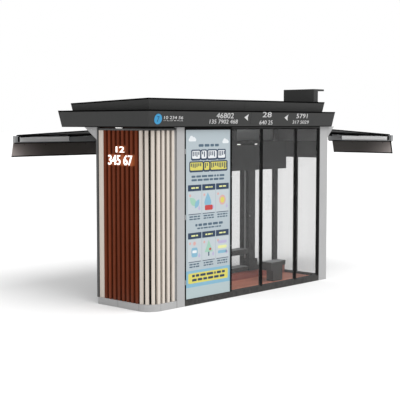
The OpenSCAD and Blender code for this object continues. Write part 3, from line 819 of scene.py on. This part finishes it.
boards = bmesh.new()
boards.faces.layers.float.new("tone")
row = 0
y = deck.y0
while y < deck.y1 - BOARD_GAP:
    joint = deck.x0 + JOINT_FROM + JOINT_REACH * scatter(row, 1)
    for part, (x0, x1) in enumerate(((deck.x0, joint), (joint + END_GAP, deck.x1))):
        bm = cad_shape("floor_deck", 0)
        keep_between(bm, 1, y, min(y + BOARD_W - BOARD_GAP, deck.y1))
        keep_between(bm, 0, x0, x1)
        if not bm.faces:
            bm.free()
            continue
        ease_edges(bm, sharp_edges(bm), 1.5 * MM, 1)
        set_tone(bm, lambda place: scatter(row * 2 + part, 5))
        join(boards, bm)
    row += 1
    y += BOARD_W
piece("deck_boards", boards, DECK, stands_for=["floor_deck"])


# Seams and rims

# A seam is set in a little and stands a little proud
SEAM_W, SET_IN, PROUD = 2.5 * MM, 0.2 * MM, 0.4 * MM
GASKET_W = 7 * MM
FRONT_GASKET_W = 13 * MM


def add_seam(bm, start, end, outward, width=SEAM_W):
    """A slim dark joint along a line of a surface."""
    start, end, outward = Vector(start), Vector(end), Vector(outward).normalized()
    side = outward.cross((end - start).normalized()).normalized() * width / 2
    foot = outward * -SET_IN
    outline = [start - side + foot, end - side + foot, end + side + foot, start + side + foot]
    add_prism(bm, outline, outward * (PROUD + SET_IN))


def add_gaskets(bm, pane, axis, outer, inner, width):
    """Four slim bars round each face of a pane that stands square to an axis.

    Outer and inner are the planes where the bars on its two faces stop."""
    across = 1 - axis
    a0, a1, z0, z1 = pane[across], pane[3 + across], pane.z0, pane.z1
    for depth in ((outer, pane[axis]), (pane[3 + axis], inner)):
        for a_low, a_high, z_low, z_high in (
            (a0, a1, z0, z0 + width), (a0, a1, z1 - width, z1),
            (a0, a0 + width, z0 + width, z1 - width), (a1 - width, a1, z0 + width, z1 - width),
        ):
            low, high = [0, 0, z_low], [0, 0, z_high]
            low[across], high[across] = a_low, a_high
            low[axis], high[axis] = depth
            add_bar(bm, low, high, 0.6 * MM, 1)


post, slats = span("front_post"), span("beige_slats")
# Light flange of the post, beside the last slat of the wing
bar_piece("post_flange", (post.x0 - 24 * MM, FRONT + 30 * MM, plinth.z1),
          (post.x0 + 1 * MM, FRONT + 49 * MM, slats.z1), 1.5 * MM, LIGHT_COAT)
# Dark cover strip down the back edge of the end slat
bar_piece("end_slat_cover", (slats.x0 - 3 * MM, slats.y1 - 9 * MM, plinth.z1),
          (slats.x0 + 5 * MM, slats.y1, slats.z1), 1 * MM, GREY_FRAME)

seams = bmesh.new()
# Plinth: where the rounded corner meets the straight lengths, and halfway along the end
CORNER_R, END_JOINT = 0.22, 0.66
for along, outward in (
    ((0, CORNER_R), OUT_LEFT), ((CORNER_R, 0), OUT_FRONT), ((0, END_JOINT), OUT_LEFT),
):
    x, y = LEFT + along[0], FRONT + along[1]
    add_seam(seams, (x, y, 0.004), (x, y, 0.097), outward)
add_seam(seams, (post.x0, post.y0, 0.004), (post.x0, post.y0, 2.595), OUT_FRONT, 4 * MM)
# Fascia: joints between its lengths, on faces that lean out by this share of their height
LEAN = 0.167
fascia_out = Vector((0, -1, -LEAN)).normalized()
for ring in (roof, crown):
    ends = [(0, ring.y0 + LEAN * (ring.z1 - z), z) for z in (ring.z0 + 6 * MM, ring.z1 - 12 * MM)]
    add_seam(seams, *ends, fascia_out, 1.5 * MM)
piece("panel_joints", seams, BLACK_TRIM)

rims, beads = bmesh.new(), bmesh.new()
for pane in parts_of("front_glass"):
    add_gaskets(rims, pane, 1, FRONT + 2 * MM, pane.y1 + 6 * MM, FRONT_GASKET_W)
    # A grey bead holds the foot of each front pane
    foot = (pane.x0 + GASKET_W, FRONT + 1 * MM, pane.z0)
    add_bar(beads, foot, (pane.x1 - GASKET_W, pane.y0, pane.z0 + 22 * MM), 2 * MM)
    add_bar(beads, (pane.x0, pane.y1, pane.z0), (pane.x1, FRONT + 58 * MM, pane.z0 + 12 * MM), 2 * MM)
piece("front_gaskets", rims, RUBBER)
piece("pane_beads", beads, PANEL_GREY)

rims = bmesh.new()
for pane in parts_of("back_glass"):
    add_gaskets(rims, pane, 1, pane.y0 - 6 * MM, pane.y1 + 5 * MM, GASKET_W)
for pane in parts_of("end_glass"):
    add_gaskets(rims, pane, 0, pane.x0 - 6 * MM, pane.x1 + 5 * MM, GASKET_W)
piece("back_and_end_gaskets", rims, RUBBER)


# Poster: a plain made-up design of bars, leaves, drops and clouds

INKS = {
    "ground": (0.42, 0.485, 0.52), "pale": (0.50, 0.555, 0.585), "white": (0.74, 0.77, 0.79),
    "navy": (0.018, 0.040, 0.085), "text": (0.07, 0.12, 0.17), "yellow": (0.65, 0.59, 0.12),
    "lemon": (0.72, 0.74, 0.33), "sky": (0.22, 0.43, 0.56), "pink": (0.64, 0.38, 0.35),
    "red": (0.50, 0.05, 0.05), "mint": (0.32, 0.55, 0.43), "lilac": (0.46, 0.42, 0.60),
    "blush": (0.42, 0.51, 0.525),
}
panel = span("poster_panel")
PANEL_W, PANEL_H = panel.x1 - panel.x0, panel.z1 - panel.z0
# How much each level of print stands out over the one below
FILM = 0.25 * MM
poster = bmesh.new()
ink_layer = poster.loops.layers.float_color.new("ink")


def stamp(points, level, ink):
    """A flat printed shape on the poster. Points run across from its left edge and down from its top."""
    outline = [(panel.x0 + u, panel.y0, panel.z1 - v) for u, v in points]
    for face in draw_out(poster, outline, (0, -FILM * level, 0)):
        for loop in face.loops:
            loop[ink_layer] = (*INKS[ink], 1)


def arc(u, v, radius, start=0, end=360, steps=20):
    """Points along an arc, with angles in degrees clockwise from the right."""
    turns = [math.radians(start + (end - start) * i / steps) for i in range(steps + (end - start < 360))]
    return [(u + radius * math.cos(t), v + radius * math.sin(t)) for t in turns]


def sheet(u0, v0, u1, v1):
    """A rectangle."""
    return [(u0, v0), (u1, v0), (u1, v1), (u0, v1)]


def tablet(u0, v0, u1, v1, radius):
    """A rectangle with rounded corners."""
    radius = min(radius, (u1 - u0) / 2.01, (v1 - v0) / 2.01)
    near_u, far_u, near_v, far_v = u0 + radius, u1 - radius, v0 + radius, v1 - radius
    return (
        arc(far_u, far_v, radius, 0, 90, 4) + arc(near_u, far_v, radius, 90, 180, 4)
        + arc(near_u, near_v, radius, 180, 270, 4) + arc(far_u, near_v, radius, 270, 359.9, 4)
    )


def drop(u, v, size):
    """A round drop with its point up."""
    return arc(u, v, size * 0.5, -30, 210, 14) + [(u, v - size)]


def leaf(u, v, size, turn=0.7):
    """A pointed leaf round its middle, turned by an angle in radians."""
    half = [(size * (i / 8 - 0.5), size * 0.26 * math.sin(math.pi * i / 8)) for i in range(9)]
    outline = half + [(a, -b) for a, b in reversed(half[1:-1])]
    c, s = math.cos(turn), math.sin(turn)
    return [(u + a * c - b * s, v + a * s + b * c) for a, b in outline]


def text_bars(u0, u1, v, rows, height, pitch, ink, seed, level=2):
    """Rows of short bars, as lines of small print."""
    for row in range(rows):
        u, top = u0, v + row * pitch
        while u < u1 - height:
            length = height * (1.0 + 3.2 * scatter(int(u * 900) + row * 7, seed))
            stamp(tablet(u, top, min(u + length, u1), top + height, height * 0.3), level, ink)
            u += length + height * 0.6


# Each motif: its shapes round its middle, with their level and ink
MOTIFS = {
    "leaf": lambda u, v: (
        (leaf(u - 0.03, v, 0.20), 3, "mint"),
        (leaf(u + 0.05, v + 0.03, 0.16, 2.2), 3.5, "sky"),
    ),
    "drop": lambda u, v: (
        (drop(u - 0.02, v + 0.02, 0.15), 3, "sky"),
        (tablet(u - 0.085, v + 0.06, u + 0.085, v + 0.135, 0.02), 4, "red"),
    ),
    "sun": lambda u, v: ((arc(u, v, 0.075), 3, "pink"), (arc(u, v, 0.045), 4, "yellow")),
    "cup": lambda u, v: (
        (tablet(u - 0.07, v - 0.03, u + 0.06, v + 0.11, 0.03), 3, "sky"),
        (tablet(u - 0.05, v + 0.01, u + 0.04, v + 0.05, 0.01), 4, "white"),
        (arc(u - 0.005, v - 0.09, 0.03), 3, "pink"),
    ),
    "tree": lambda u, v: (
        ([(u, v - 0.12), (u + 0.09, v + 0.06), (u - 0.09, v + 0.06)], 3, "mint"),
        (tablet(u - 0.014, v + 0.06, u + 0.014, v + 0.12, 0.004), 3, "text"),
        (arc(u + 0.03, v + 0.02, 0.022), 4, "red"),
    ),
    "wave": lambda u, v: [
        (tablet(u - 0.10, v - 0.09 + k * 0.075, u + 0.10, v - 0.045 + k * 0.075, 0.02), 3, ink)
        for k, ink in enumerate(("lilac", "lemon", "sky"))
    ],
}

stamp(sheet(0, 0, PANEL_W, PANEL_H), 1, "ground")
# Sky with clouds at the top
for u, v, size in ((0.14, 0.13, 0.05), (0.86, 0.17, 0.045)):
    stamp(tablet(u - size * 1.6, v - size * 0.2, u + size * 1.6, v + size * 0.75, size * 0.5), 2, "white")
    stamp(arc(u - size * 0.4, v - size * 0.1, size * 0.8), 2.2, "white")
    stamp(arc(u + size * 0.6, v + size * 0.05, size * 0.6), 2.4, "white")
text_bars(0.27, 0.71, 0.21, 1, 0.038, 0.05, "text", 2)
# Title: plain blocks with dark edges and a row of dark strokes
BLOCK_H, BLOCK_EDGE, STROKE_PITCH = 0.115, 0.018, 0.040
for v0, ink, blocks in (
    (0.305, "white", ((0.13, 0.30), (0.33, 0.44), (0.47, 0.66), (0.69, 0.85))),
    (0.475, "yellow", ((0.09, 0.36), (0.39, 0.50), (0.53, 0.89))),
):
    for u0, u1 in blocks:
        stamp(tablet(u0 - BLOCK_EDGE, v0 - BLOCK_EDGE, u1 + BLOCK_EDGE, v0 + 0.142, 0.03), 2, "navy")
        stamp(tablet(u0, v0, u1, v0 + BLOCK_H, 0.022), 3, ink)
        for n in range(int((u1 - u0) / STROKE_PITCH)):
            u = u0 + 0.014 + n * STROKE_PITCH
            stamp(tablet(u, v0 + 0.012, u + 0.021, v0 + 0.104 - 0.05 * scatter(n, u0), 0.004), 4, "navy")
text_bars(0.12, 0.86, 0.665, 2, 0.030, 0.052, "text", 4)
# Two bands of three cards, each with a dark heading, a motif and two lines under it
CARD_W, CARD_PITCH = 0.285, 0.302
for band, (v0, motifs) in enumerate(((0.80, ("leaf", "drop", "sun")), (1.50, ("cup", "tree", "wave")))):
    for n, motif in enumerate(motifs):
        u0 = 0.045 + n * CARD_PITCH
        u1 = u0 + CARD_W
        stamp(tablet(u0, v0, u1, v0 + 0.09, 0.006), 2, "navy")
        text_bars(u0 + 0.07, u1 - 0.06, v0 + 0.034, 1, 0.022, 0.05, "lemon", n + band * 5, 3)
        stamp(tablet(u0, v0 + 0.10, u1, v0 + 0.43, 0.02), 2, "pale")
        stamp(tablet(u0 + 0.01, v0 + 0.424, u1 - 0.01, v0 + 0.434, 0.002), 3, "navy")
        stamp(arc(u0 + 0.045, v0 + 0.155, 0.020), 3, "pink")
        stamp(drop(u1 - 0.045, v0 + 0.35, 0.045), 3, "lilac")
        for shape, level, ink in MOTIFS[motif](u0 + CARD_W / 2, v0 + 0.25):
            stamp(shape, level, ink)
        text_bars(u0 + 0.03, u1 - 0.03, v0 + 0.455, 2, 0.020, 0.036, "text", n + 9 + band * 5)
text_bars(0.20, 0.80, 1.375, 1, 0.036, 0.05, "text", 8)
text_bars(0.24, 0.76, 1.432, 1, 0.022, 0.05, "text", 6)
# Foot: a yellow band on sky, then a plain pale foot
SKY_TOP, FOOT_TOP = 2.055, 2.30
stamp(sheet(0, SKY_TOP, PANEL_W, FOOT_TOP), 2, "sky")
stamp(tablet(0.05, 2.095, PANEL_W - 0.05, 2.245, 0.02), 3, "yellow")
for row in range(2):
    text_bars(0.13, 0.85, 2.118 + row * 0.062, 1, 0.036, 0.05, "navy", 12 + row, 4)
stamp(sheet(0, FOOT_TOP, PANEL_W, PANEL_H), 2, "blush")
piece("poster_print", poster, PRINT)
piece("poster_backing", cad_shape("poster_panel", 0), WHITE_FILM, stands_for=["poster_panel"])

# Hinge barrels on the case's left edge, and two locks on its right edge
case = span("poster_case")
bm = bmesh.new()
hinge_x, hinge_y, lock_x = case.x0 + 9 * MM, FRONT - 3 * MM, case.x1 - 10 * MM
for z in (0.35, 1.30, 2.25):
    add_rod(bm, (hinge_x, hinge_y, z - 0.035), (hinge_x, hinge_y, z + 0.035), 5 * MM, 12, ease=0.8 * MM)
for z in (0.80, 1.85):
    add_rod(bm, (lock_x, FRONT, z), (lock_x, FRONT - 2.5 * MM, z), 6 * MM, 20, ease=0.6 * MM)
piece("poster_case_hinges", bm, STEEL)


# Lit figures over the slats, and the figures on the fascia

# Turns figures that face +Z, so that they face the left and stand upright
side_turn = Matrix(((0, 0, -1, 0), (-1, 0, 0, 0), (0, 1, 0, 0), (0, 0, 0, 1)))
bm = bmesh.new()
for z, text, width, height in SIGN_LINES:
    place = Matrix.Translation((SIGN_X, SIGN_Y, z)) @ side_turn
    add_written(bm, text, width, height, sign.x1 - sign.x0, place)
piece("lit_figures", bm, SIGN_LIT, stands_for=["lit_sign"])

up = Vector((0, -LEAN, 1)).normalized()
out = Vector((1, 0, 0)).cross(up)
fascia_turn = Matrix(((1, up.x, out.x, 0), (0, up.y, out.y, 0), (0, up.z, out.z, 0), (0, 0, 0, 1)))
# How far the fascia's foot stands out past the shelter's front
FASCIA_FOOT = 0.048


def on_fascia(x, z, proud=0.8 * MM):
    """The place of a mark on the leaning front fascia, x along from the shelter's left end."""
    foot = Vector((LEFT + x, FRONT - FASCIA_FOOT - LEAN * (z - roof.z0), z))
    return Matrix.Translation(foot + out * proud) @ fascia_turn


FILM_T = 1.2 * MM
marks = bmesh.new()
# Each line: its middle along the front and above the ground, its width and height, and its figures
for x, z, width, height, text in (
    (0.418, 2.735, 0.379, 0.044, "10 234 56"), (0.418, 2.693, 0.379, 0.014, "11 22 33 44 55 66"),
    (1.500, 2.768, 0.385, 0.080, "46802"), (1.486, 2.680, 0.624, 0.062, "135 7902 468"),
    (2.478, 2.788, 0.220, 0.080, "28"), (2.476, 2.668, 0.319, 0.064, "640 25"),
    (3.375, 2.772, 0.290, 0.074, "5791"), (3.360, 2.674, 0.427, 0.052, "317 5029"),
):
    add_written(marks, text, width, height, FILM_T, on_fascia(x, z))
ARROW = ((-0.048, 0, 0), (0.044, -0.050, 0), (0.032, 0, 0), (0.044, 0.050, 0))
for x in (1.988, 2.966):
    place = on_fascia(x, 2.744, 0.2 * MM)
    add_prism(marks, [place @ Vector(p) for p in ARROW], out * FILM_T)
piece("fascia_figures", marks, WHITE_FILM)

DISC_X, DISC_Z, DISC_R = 0.113, 2.714, 0.074
disc = bmesh.new()
place = on_fascia(DISC_X, DISC_Z, 0)
add_rod(disc, place.translation, place @ Vector((0, 0, FILM_T)), DISC_R, 40, ease=0.5 * MM)
piece("fascia_disc", disc, BLUE_FILM)
bm = bmesh.new()
add_written(bm, "7", 0.042, 0.075, FILM_T, on_fascia(DISC_X, DISC_Z, 1.4 * MM))
piece("fascia_disc_figure", bm, NAVY_FILM)


# Lamps and awnings

downlight, back_lamp, end_lamp = parts_of("lamps")
LENS_EDGE = 6 * MM
REACH, ROOT_Z, SHEET_T = 1.96, 2.563, 21.5 * MM
LIP = 12 * MM
END_AWNING_L = 1.3
# The arms and the first ribs start this far out from the wall, and the wedges beside the arms end further out
ROOT_Y, WEDGE_END = 0.05, 1.35
BOLT = 9 * MM
# Each awning: its name, its place (X along it, Y outward, the wall at Y = 0), its length, how far it falls from
# the wall to its beam, its lamp's box and finish, and how many cross ribs and sheet bolts it has
AWNINGS = (
    ("back", Matrix.Translation((LEFT, -FRONT, 0)), 4.13, 0.092, back_lamp, LAMP_PAINTED_SHADE, 3, 10),
    ("end", Matrix.Translation((-LEFT, FRONT + END_AWNING_L, 0)) @ Matrix.Rotation(math.radians(-90), 4, "Z"),
     END_AWNING_L, 0.108, end_lamp, LAMP_PAINTED_LIGHT, 1, 4),
)
AWNING_PIECES = {
    "lamp_housings": (LAMP_LIP, "lamp_face", ["lamps"]),
    "awning_black_parts": (BLACK_TRIM, "awning_frame", []),
    "awning_end_plates": (ALUMINIUM_Y, "awning_frame", []),
    "awning_wedges": (WEDGE_GREY, "awning_frame", []),
    "awning_bolts": (STEEL, "awning_frame", []),
}


def own_box(place, box):
    """The two corners of a box in an awning's own place."""
    ends = [place.inverted() @ Vector(corner) for corner in (box[:3], box[3:])]
    return [Vector([pick(values) for values in zip(*ends)]) for pick in (min, max)]


whole = {kind: bmesh.new() for kind in AWNING_PIECES}
for name, place, length, fall, lamp_box, lamp_finish, rib_count, bolt_count in AWNINGS:
    lamp_low, lamp_high = own_box(place, lamp_box)
    beam_low, beam_high = own_box(place, parts_of(name + "_awning_frame")[0])
    inner_y, slope, under = REACH - BEAM_D, fall / REACH, ROOT_Z - SHEET_T
    own = {kind: bmesh.new() for kind in AWNING_PIECES}
    housings, black, plates, wedges, bolts = own.values()

    for z in (lamp_low.z, lamp_high.z - LIP):
        add_bar(housings, (lamp_low.x, lamp_low.y, z), (lamp_high.x, lamp_high.y, z + LIP), 3 * MM)
    # Black caps on the lamp's ends
    for x in (lamp_low.x - 1 * MM, lamp_high.x - 7 * MM):
        low = (x, lamp_low.y - 1 * MM, lamp_low.z - 1 * MM)
        add_bar(black, low, (x + 8 * MM, lamp_high.y, lamp_high.z + 1 * MM), 2 * MM)
    # Clamp under the beam that holds the smoked sheet
    add_bar(black, (beam_low.x + 4 * MM, REACH - 46 * MM, beam_low.z - 16 * MM),
            (beam_high.x - 4 * MM, REACH - 31 * MM, beam_low.z), 2 * MM)
    # Cross ribs under the sheet
    for n in range(1, rib_count + 1):
        x = length * n / (rib_count + 1) - 15 * MM
        outline = [(x, ROOT_Y, under), (x, inner_y, under - inner_y * slope + 2 * MM),
                   (x, inner_y, under - 0.023 - inner_y * slope), (x, ROOT_Y, under - 0.025)]
        add_prism(black, outline, (30 * MM, 0, 0), 1.5 * MM)
    # Bolts through the smoked sheet
    for n in range(bolt_count):
        x = 0.15 + (length - 0.3) / (bolt_count - 1) * n
        add_bolt(black, (x, REACH - BEAM_D / 2 + 6 * MM, beam_low.z - 35 * MM), (0, -1, 0.25), 7 * MM)
    for x in (beam_low.x - 1.5 * MM, beam_high.x - 1.5 * MM):
        low = (x, inner_y - 1 * MM, beam_low.z - 1 * MM)
        add_bar(plates, low, (x + 3 * MM, REACH, beam_low.z + BEAM_H + 1 * MM), 1 * MM)
    # Grey wedge beside each arm's root
    for x in (7 * MM, length - 10 * MM):
        outline = [(x, ROOT_Y, under), (x, WEDGE_END, under - WEDGE_END * slope), (x, ROOT_Y, ROOT_Z - 0.049)]
        add_prism(wedges, outline, (3 * MM, 0, 0))
    # Bolts of the arms' roots and of the beam's ends
    for x, way in ((0, -1), (length, 1)):
        for y, z in ((0.055, 2.545), (0.055, 2.50), (0.11, 2.562)):
            add_bolt(bolts, (x, y, z), (way, 0, 0), BOLT)
    for x, way in ((beam_low.x - 1.5 * MM, -1), (beam_high.x + 1.5 * MM, 1)):
        add_bolt(bolts, (x, REACH - BEAM_D / 2, beam_low.z + BEAM_H / 2), (way, 0, 0), BOLT)

    lens = bmesh.new()
    add_bar(lens, (lamp_low.x + LENS_EDGE, lamp_low.y + 5 * MM, lamp_low.z + LIP),
            (lamp_high.x - LENS_EDGE, lamp_high.y, lamp_high.z - LIP), 2 * MM)
    bmesh.ops.transform(lens, matrix=place, verts=lens.verts)
    piece(name + "_lamp_diffuser", lens, lamp_finish)
    for kind, part in own.items():
        bmesh.ops.transform(part, matrix=place, verts=part.verts)
        join(whole[kind], part)
for kind, (finish, slot, replaced) in AWNING_PIECES.items():
    piece(kind, whole[kind], finish, stands_for=replaced)

bar_piece("downlight_trim", (downlight.x0, downlight.y0, downlight.z0 + 5 * MM),
          (downlight.x1, downlight.y1, downlight.z1), 2 * MM, STEEL)
bar_piece("downlight_lens", (downlight.x0 + LENS_EDGE, downlight.y0 + LENS_EDGE, downlight.z0),
          (downlight.x1 - LENS_EDGE, downlight.y1 - LENS_EDGE, downlight.z0 + 6 * MM),
          2 * MM, LAMP_LIT)


# Fitted wall inside: joints, a lamp strip on the header, and the service column's door

fitted, service = span("header_box"), span("service_column")
face_y, left_x, right_x = fitted.y0, service.x0, service.x1 - 0.045
DOOR_FOOT, DOOR_TOP = 0.38, 1.86
bm = bmesh.new()
for x in (LEFT + 2.35, LEFT + 3.34):
    add_seam(bm, (x, face_y, fitted.z0 + 2 * MM), (x, face_y, HEADER_TOP - 2 * MM), OUT_FRONT)
# Black strip that holds the lamps, and a dark line along the header's top
add_bar(bm, (LEFT + 2.80, face_y - 8 * MM, 2.292), (LEFT + 3.36, face_y + 1 * MM, 2.318), 1.5 * MM)
add_bar(bm, (LEFT + 2.83, face_y - 3 * MM, HEADER_TOP - 12 * MM),
        (fitted.x1 - 5 * MM, face_y, HEADER_TOP), 1 * MM)
groove_y = face_y + 30 * MM
add_seam(bm, (left_x, groove_y, DOOR_FOOT), (left_x, groove_y, DOOR_TOP), OUT_LEFT, 6 * MM)
# Vent slots low in the door
for n in range(7):
    z = 0.52 + n * 0.018
    low = (left_x + 0.045, face_y - 5 * MM, z)
    add_bar(bm, low, (right_x - 0.045, face_y - 2 * MM, z + 6 * MM), 0.8 * MM, 1)
piece("fitted_wall_joints", bm, BLACK_TRIM)

bm = bmesh.new()
for x0, x1 in ((2.822, 2.910), (3.278, 3.339)):
    add_bar(bm, (LEFT + x0, face_y - 9.5 * MM, 2.298), (LEFT + x1, face_y - 7 * MM, 2.312), 1 * MM)
piece("header_lamps", bm, LAMP_LIT)

bar_piece("service_strip", (left_x - 3 * MM, face_y + 62 * MM, DOOR_FOOT),
          (left_x + 1 * MM, face_y + 95 * MM, DOOR_TOP), 1 * MM, TRANSOM_LIGHT)
bar_piece("service_panels", (left_x + 12 * MM, face_y - 4 * MM, DOOR_FOOT),
          (right_x - 12 * MM, face_y + 1 * MM, DOOR_TOP - 10 * MM), 1.5 * MM, PANEL_GREY)

bm = bmesh.new()
lock_x, lock_z, hinge_x = left_x + 30 * MM, 1.10, right_x - 9 * MM
add_rod(bm, (lock_x, face_y - 4 * MM, lock_z), (lock_x, face_y - 8 * MM, lock_z), 9 * MM, 24, ease=1 * MM)
add_bar(bm, (lock_x - 2 * MM, face_y - 9 * MM, lock_z - 6 * MM),
        (lock_x + 2 * MM, face_y - 7.5 * MM, lock_z + 6 * MM), 0.4 * MM, 1)
hinge_y = face_y - 5 * MM
for z in (0.55, 1.70):
    add_rod(bm, (hinge_x, hinge_y, z - 0.03), (hinge_x, hinge_y, z + 0.03), 4 * MM, 12, ease=0.6 * MM)
piece("service_lock", bm, STEEL)


# Roof fittings

cowl = span("roof_cowl")
ROOF_BAYS = 9
RIB_W, RIB_H = 12 * MM, 13 * MM


def crown_top(y):
    """The height of the crown's sheet at a place along Y."""
    return crown.z1 - (y - crown.y0) * CROWN_FALL / (crown.y1 - crown.y0)


bm = bmesh.new()
for n in range(1, ROOF_BAYS):
    middle_x = crown.x0 + (crown.x1 - crown.x0) * n / ROOF_BAYS
    y0, y1 = crown.y0 + 0.45, crown.y1 - 0.06
    if cowl.x0 - 0.05 < middle_x < cowl.x1 + 0.05:
        y0 = cowl.y1 + 0.06
    x = middle_x - RIB_W / 2
    outline = [(x, y0, crown_top(y0) - 1 * MM), (x, y0 + 0.03, crown_top(y0) + RIB_H),
               (x, y1 - 0.03, crown_top(y1) + RIB_H), (x, y1, crown_top(y1) - 1 * MM)]
    add_prism(bm, outline, (RIB_W, 0, 0), 1.5 * MM)
# Cowl: flashing round its foot, slats on its open side, and rivets along its edges
FLASHING = 15 * MM
add_bar(bm, (cowl.x0 - FLASHING, cowl.y0 - FLASHING, 2.99),
        (cowl.x1 + FLASHING, cowl.y1 + FLASHING, 3.012), 2 * MM)
for n in range(6):
    y, z = cowl.y0 + 0.03, 3.03 + n * 0.025
    outline = [(cowl.x1 - 0.5 * MM, y, z), (cowl.x1 + 8 * MM, y, z - 6 * MM),
               (cowl.x1 + 8 * MM, y, z - 4 * MM), (cowl.x1 - 0.5 * MM, y, z + 9 * MM)]
    add_prism(bm, outline, (0, cowl.y1 - cowl.y0 - 0.06, 0))
piece("roof_seams_and_louvres", bm, ROOF_COAT)

RIVET_R, RIVET_CROWN_R, RIVET_H = 4 * MM, 3 * MM, 1.6 * MM
rivets = [((cowl.x0, cowl.y0 + 0.05 + n * 0.09, z), OUT_LEFT) for n in range(7) for z in (3.03, 3.18)]
rivets += [((x, cowl.y0, z), OUT_FRONT) for x in (cowl.x0 + 0.02, cowl.x1 - 0.02) for z in (3.03, 3.105, 3.18)]
bm = bmesh.new()
for seat, outward in rivets:
    add_rod(bm, seat, Vector(seat) + outward * RIVET_H, RIVET_R, 12, RIVET_CROWN_R)
piece("cowl_rivets", bm, ROOF_COAT)


# Stage, lights and camera

FLOOR_ALBEDO = 0.74
# How brightly the floor glows where it is seen, and how bright the surround looks and how much it lights
FLOOR_GLOW = 0.16
SKY_SEEN, SKY_LIGHT = 1.0, 0.75


def seen_directly(g):
    """1 where a surface is looked at straight, through glass or in a reflection."""
    path = g.node("ShaderNodeLightPath").outputs
    seen = g.math("MAXIMUM", path["Is Camera Ray"], path["Is Transmission Ray"])
    return g.math("MAXIMUM", seen, path["Is Glossy Ray"])


def stage():
    """A pale floor that shows white where no shadow falls on it, and a white surround."""
    made, g = new_material("pale floor")
    close_material(g, {
        "Base Color": (*[FLOOR_ALBEDO] * 3, 1), "Roughness": 0.9, "Specular IOR Level": 0.0,
        "Emission Color": (1, 1, 1, 1), "Emission Strength": g.math("MULTIPLY", seen_directly(g), FLOOR_GLOW),
    })
    bm = bmesh.new()
    bmesh.ops.create_grid(bm, x_segments=1, y_segments=1, size=200, matrix=Matrix.Translation((0, 0, -1 * MM)))
    mesh = bpy.data.meshes.new("floor")
    bm.to_mesh(mesh)
    bm.free()
    mesh.materials.append(made)
    planted("floor", mesh)

    world = bpy.data.worlds.new("surround")
    bpy.context.scene.world = world
    world.use_nodes = True
    world.node_tree.nodes.clear()
    g = Graph(world.node_tree)
    level = g.ramp(seen_directly(g), 0.0, 1.0, SKY_LIGHT, SKY_SEEN)
    sky = g.node("ShaderNodeBackground", {"Color": (1, 1, 1, 1), "Strength": level})
    g.node("ShaderNodeOutputWorld", {"Surface": sky.outputs[0]})


def sun(name, azimuth, elevation, strength, softness):
    """A broad lamp far away. Azimuth 0 shines from the front, and 90 from the right."""
    lamp = bpy.data.lights.new(name, "SUN")
    lamp.energy = strength
    lamp.angle = math.radians(softness)
    a, e = math.radians(azimuth), math.radians(elevation)
    source = Vector((math.sin(a) * math.cos(e), -math.cos(a) * math.cos(e), math.sin(e)))
    planted(name, lamp).rotation_euler = source.to_track_quat("Z", "Y").to_euler()


def camera(eye, heading, dip, lens):
    """A camera at eye height in front of the slatted corner, which looks a little down."""
    made = bpy.data.cameras.new("camera")
    made.sensor_width = 36
    made.lens = lens
    made.clip_end = 500
    obj = planted("camera", made)
    obj.location = eye
    a, e = math.radians(heading), math.radians(dip)
    ahead = Vector((math.cos(a) * math.cos(e), math.sin(a) * math.cos(e), -math.sin(e)))
    obj.rotation_euler = ahead.to_track_quat("-Z", "Y").to_euler()
    bpy.context.scene.camera = obj


stage()
sun("key", azimuth=12, elevation=62, strength=2.1, softness=50)
camera(eye=(-11.518, -10.341, 2.660), heading=43.128, dip=4.492, lens=88.27)
bpy.context.scene.view_settings.view_transform = "Standard"

nodes["base_plate"].data.materials.clear()
nodes["base_plate"].data.materials.append(BLACK_FRAME)
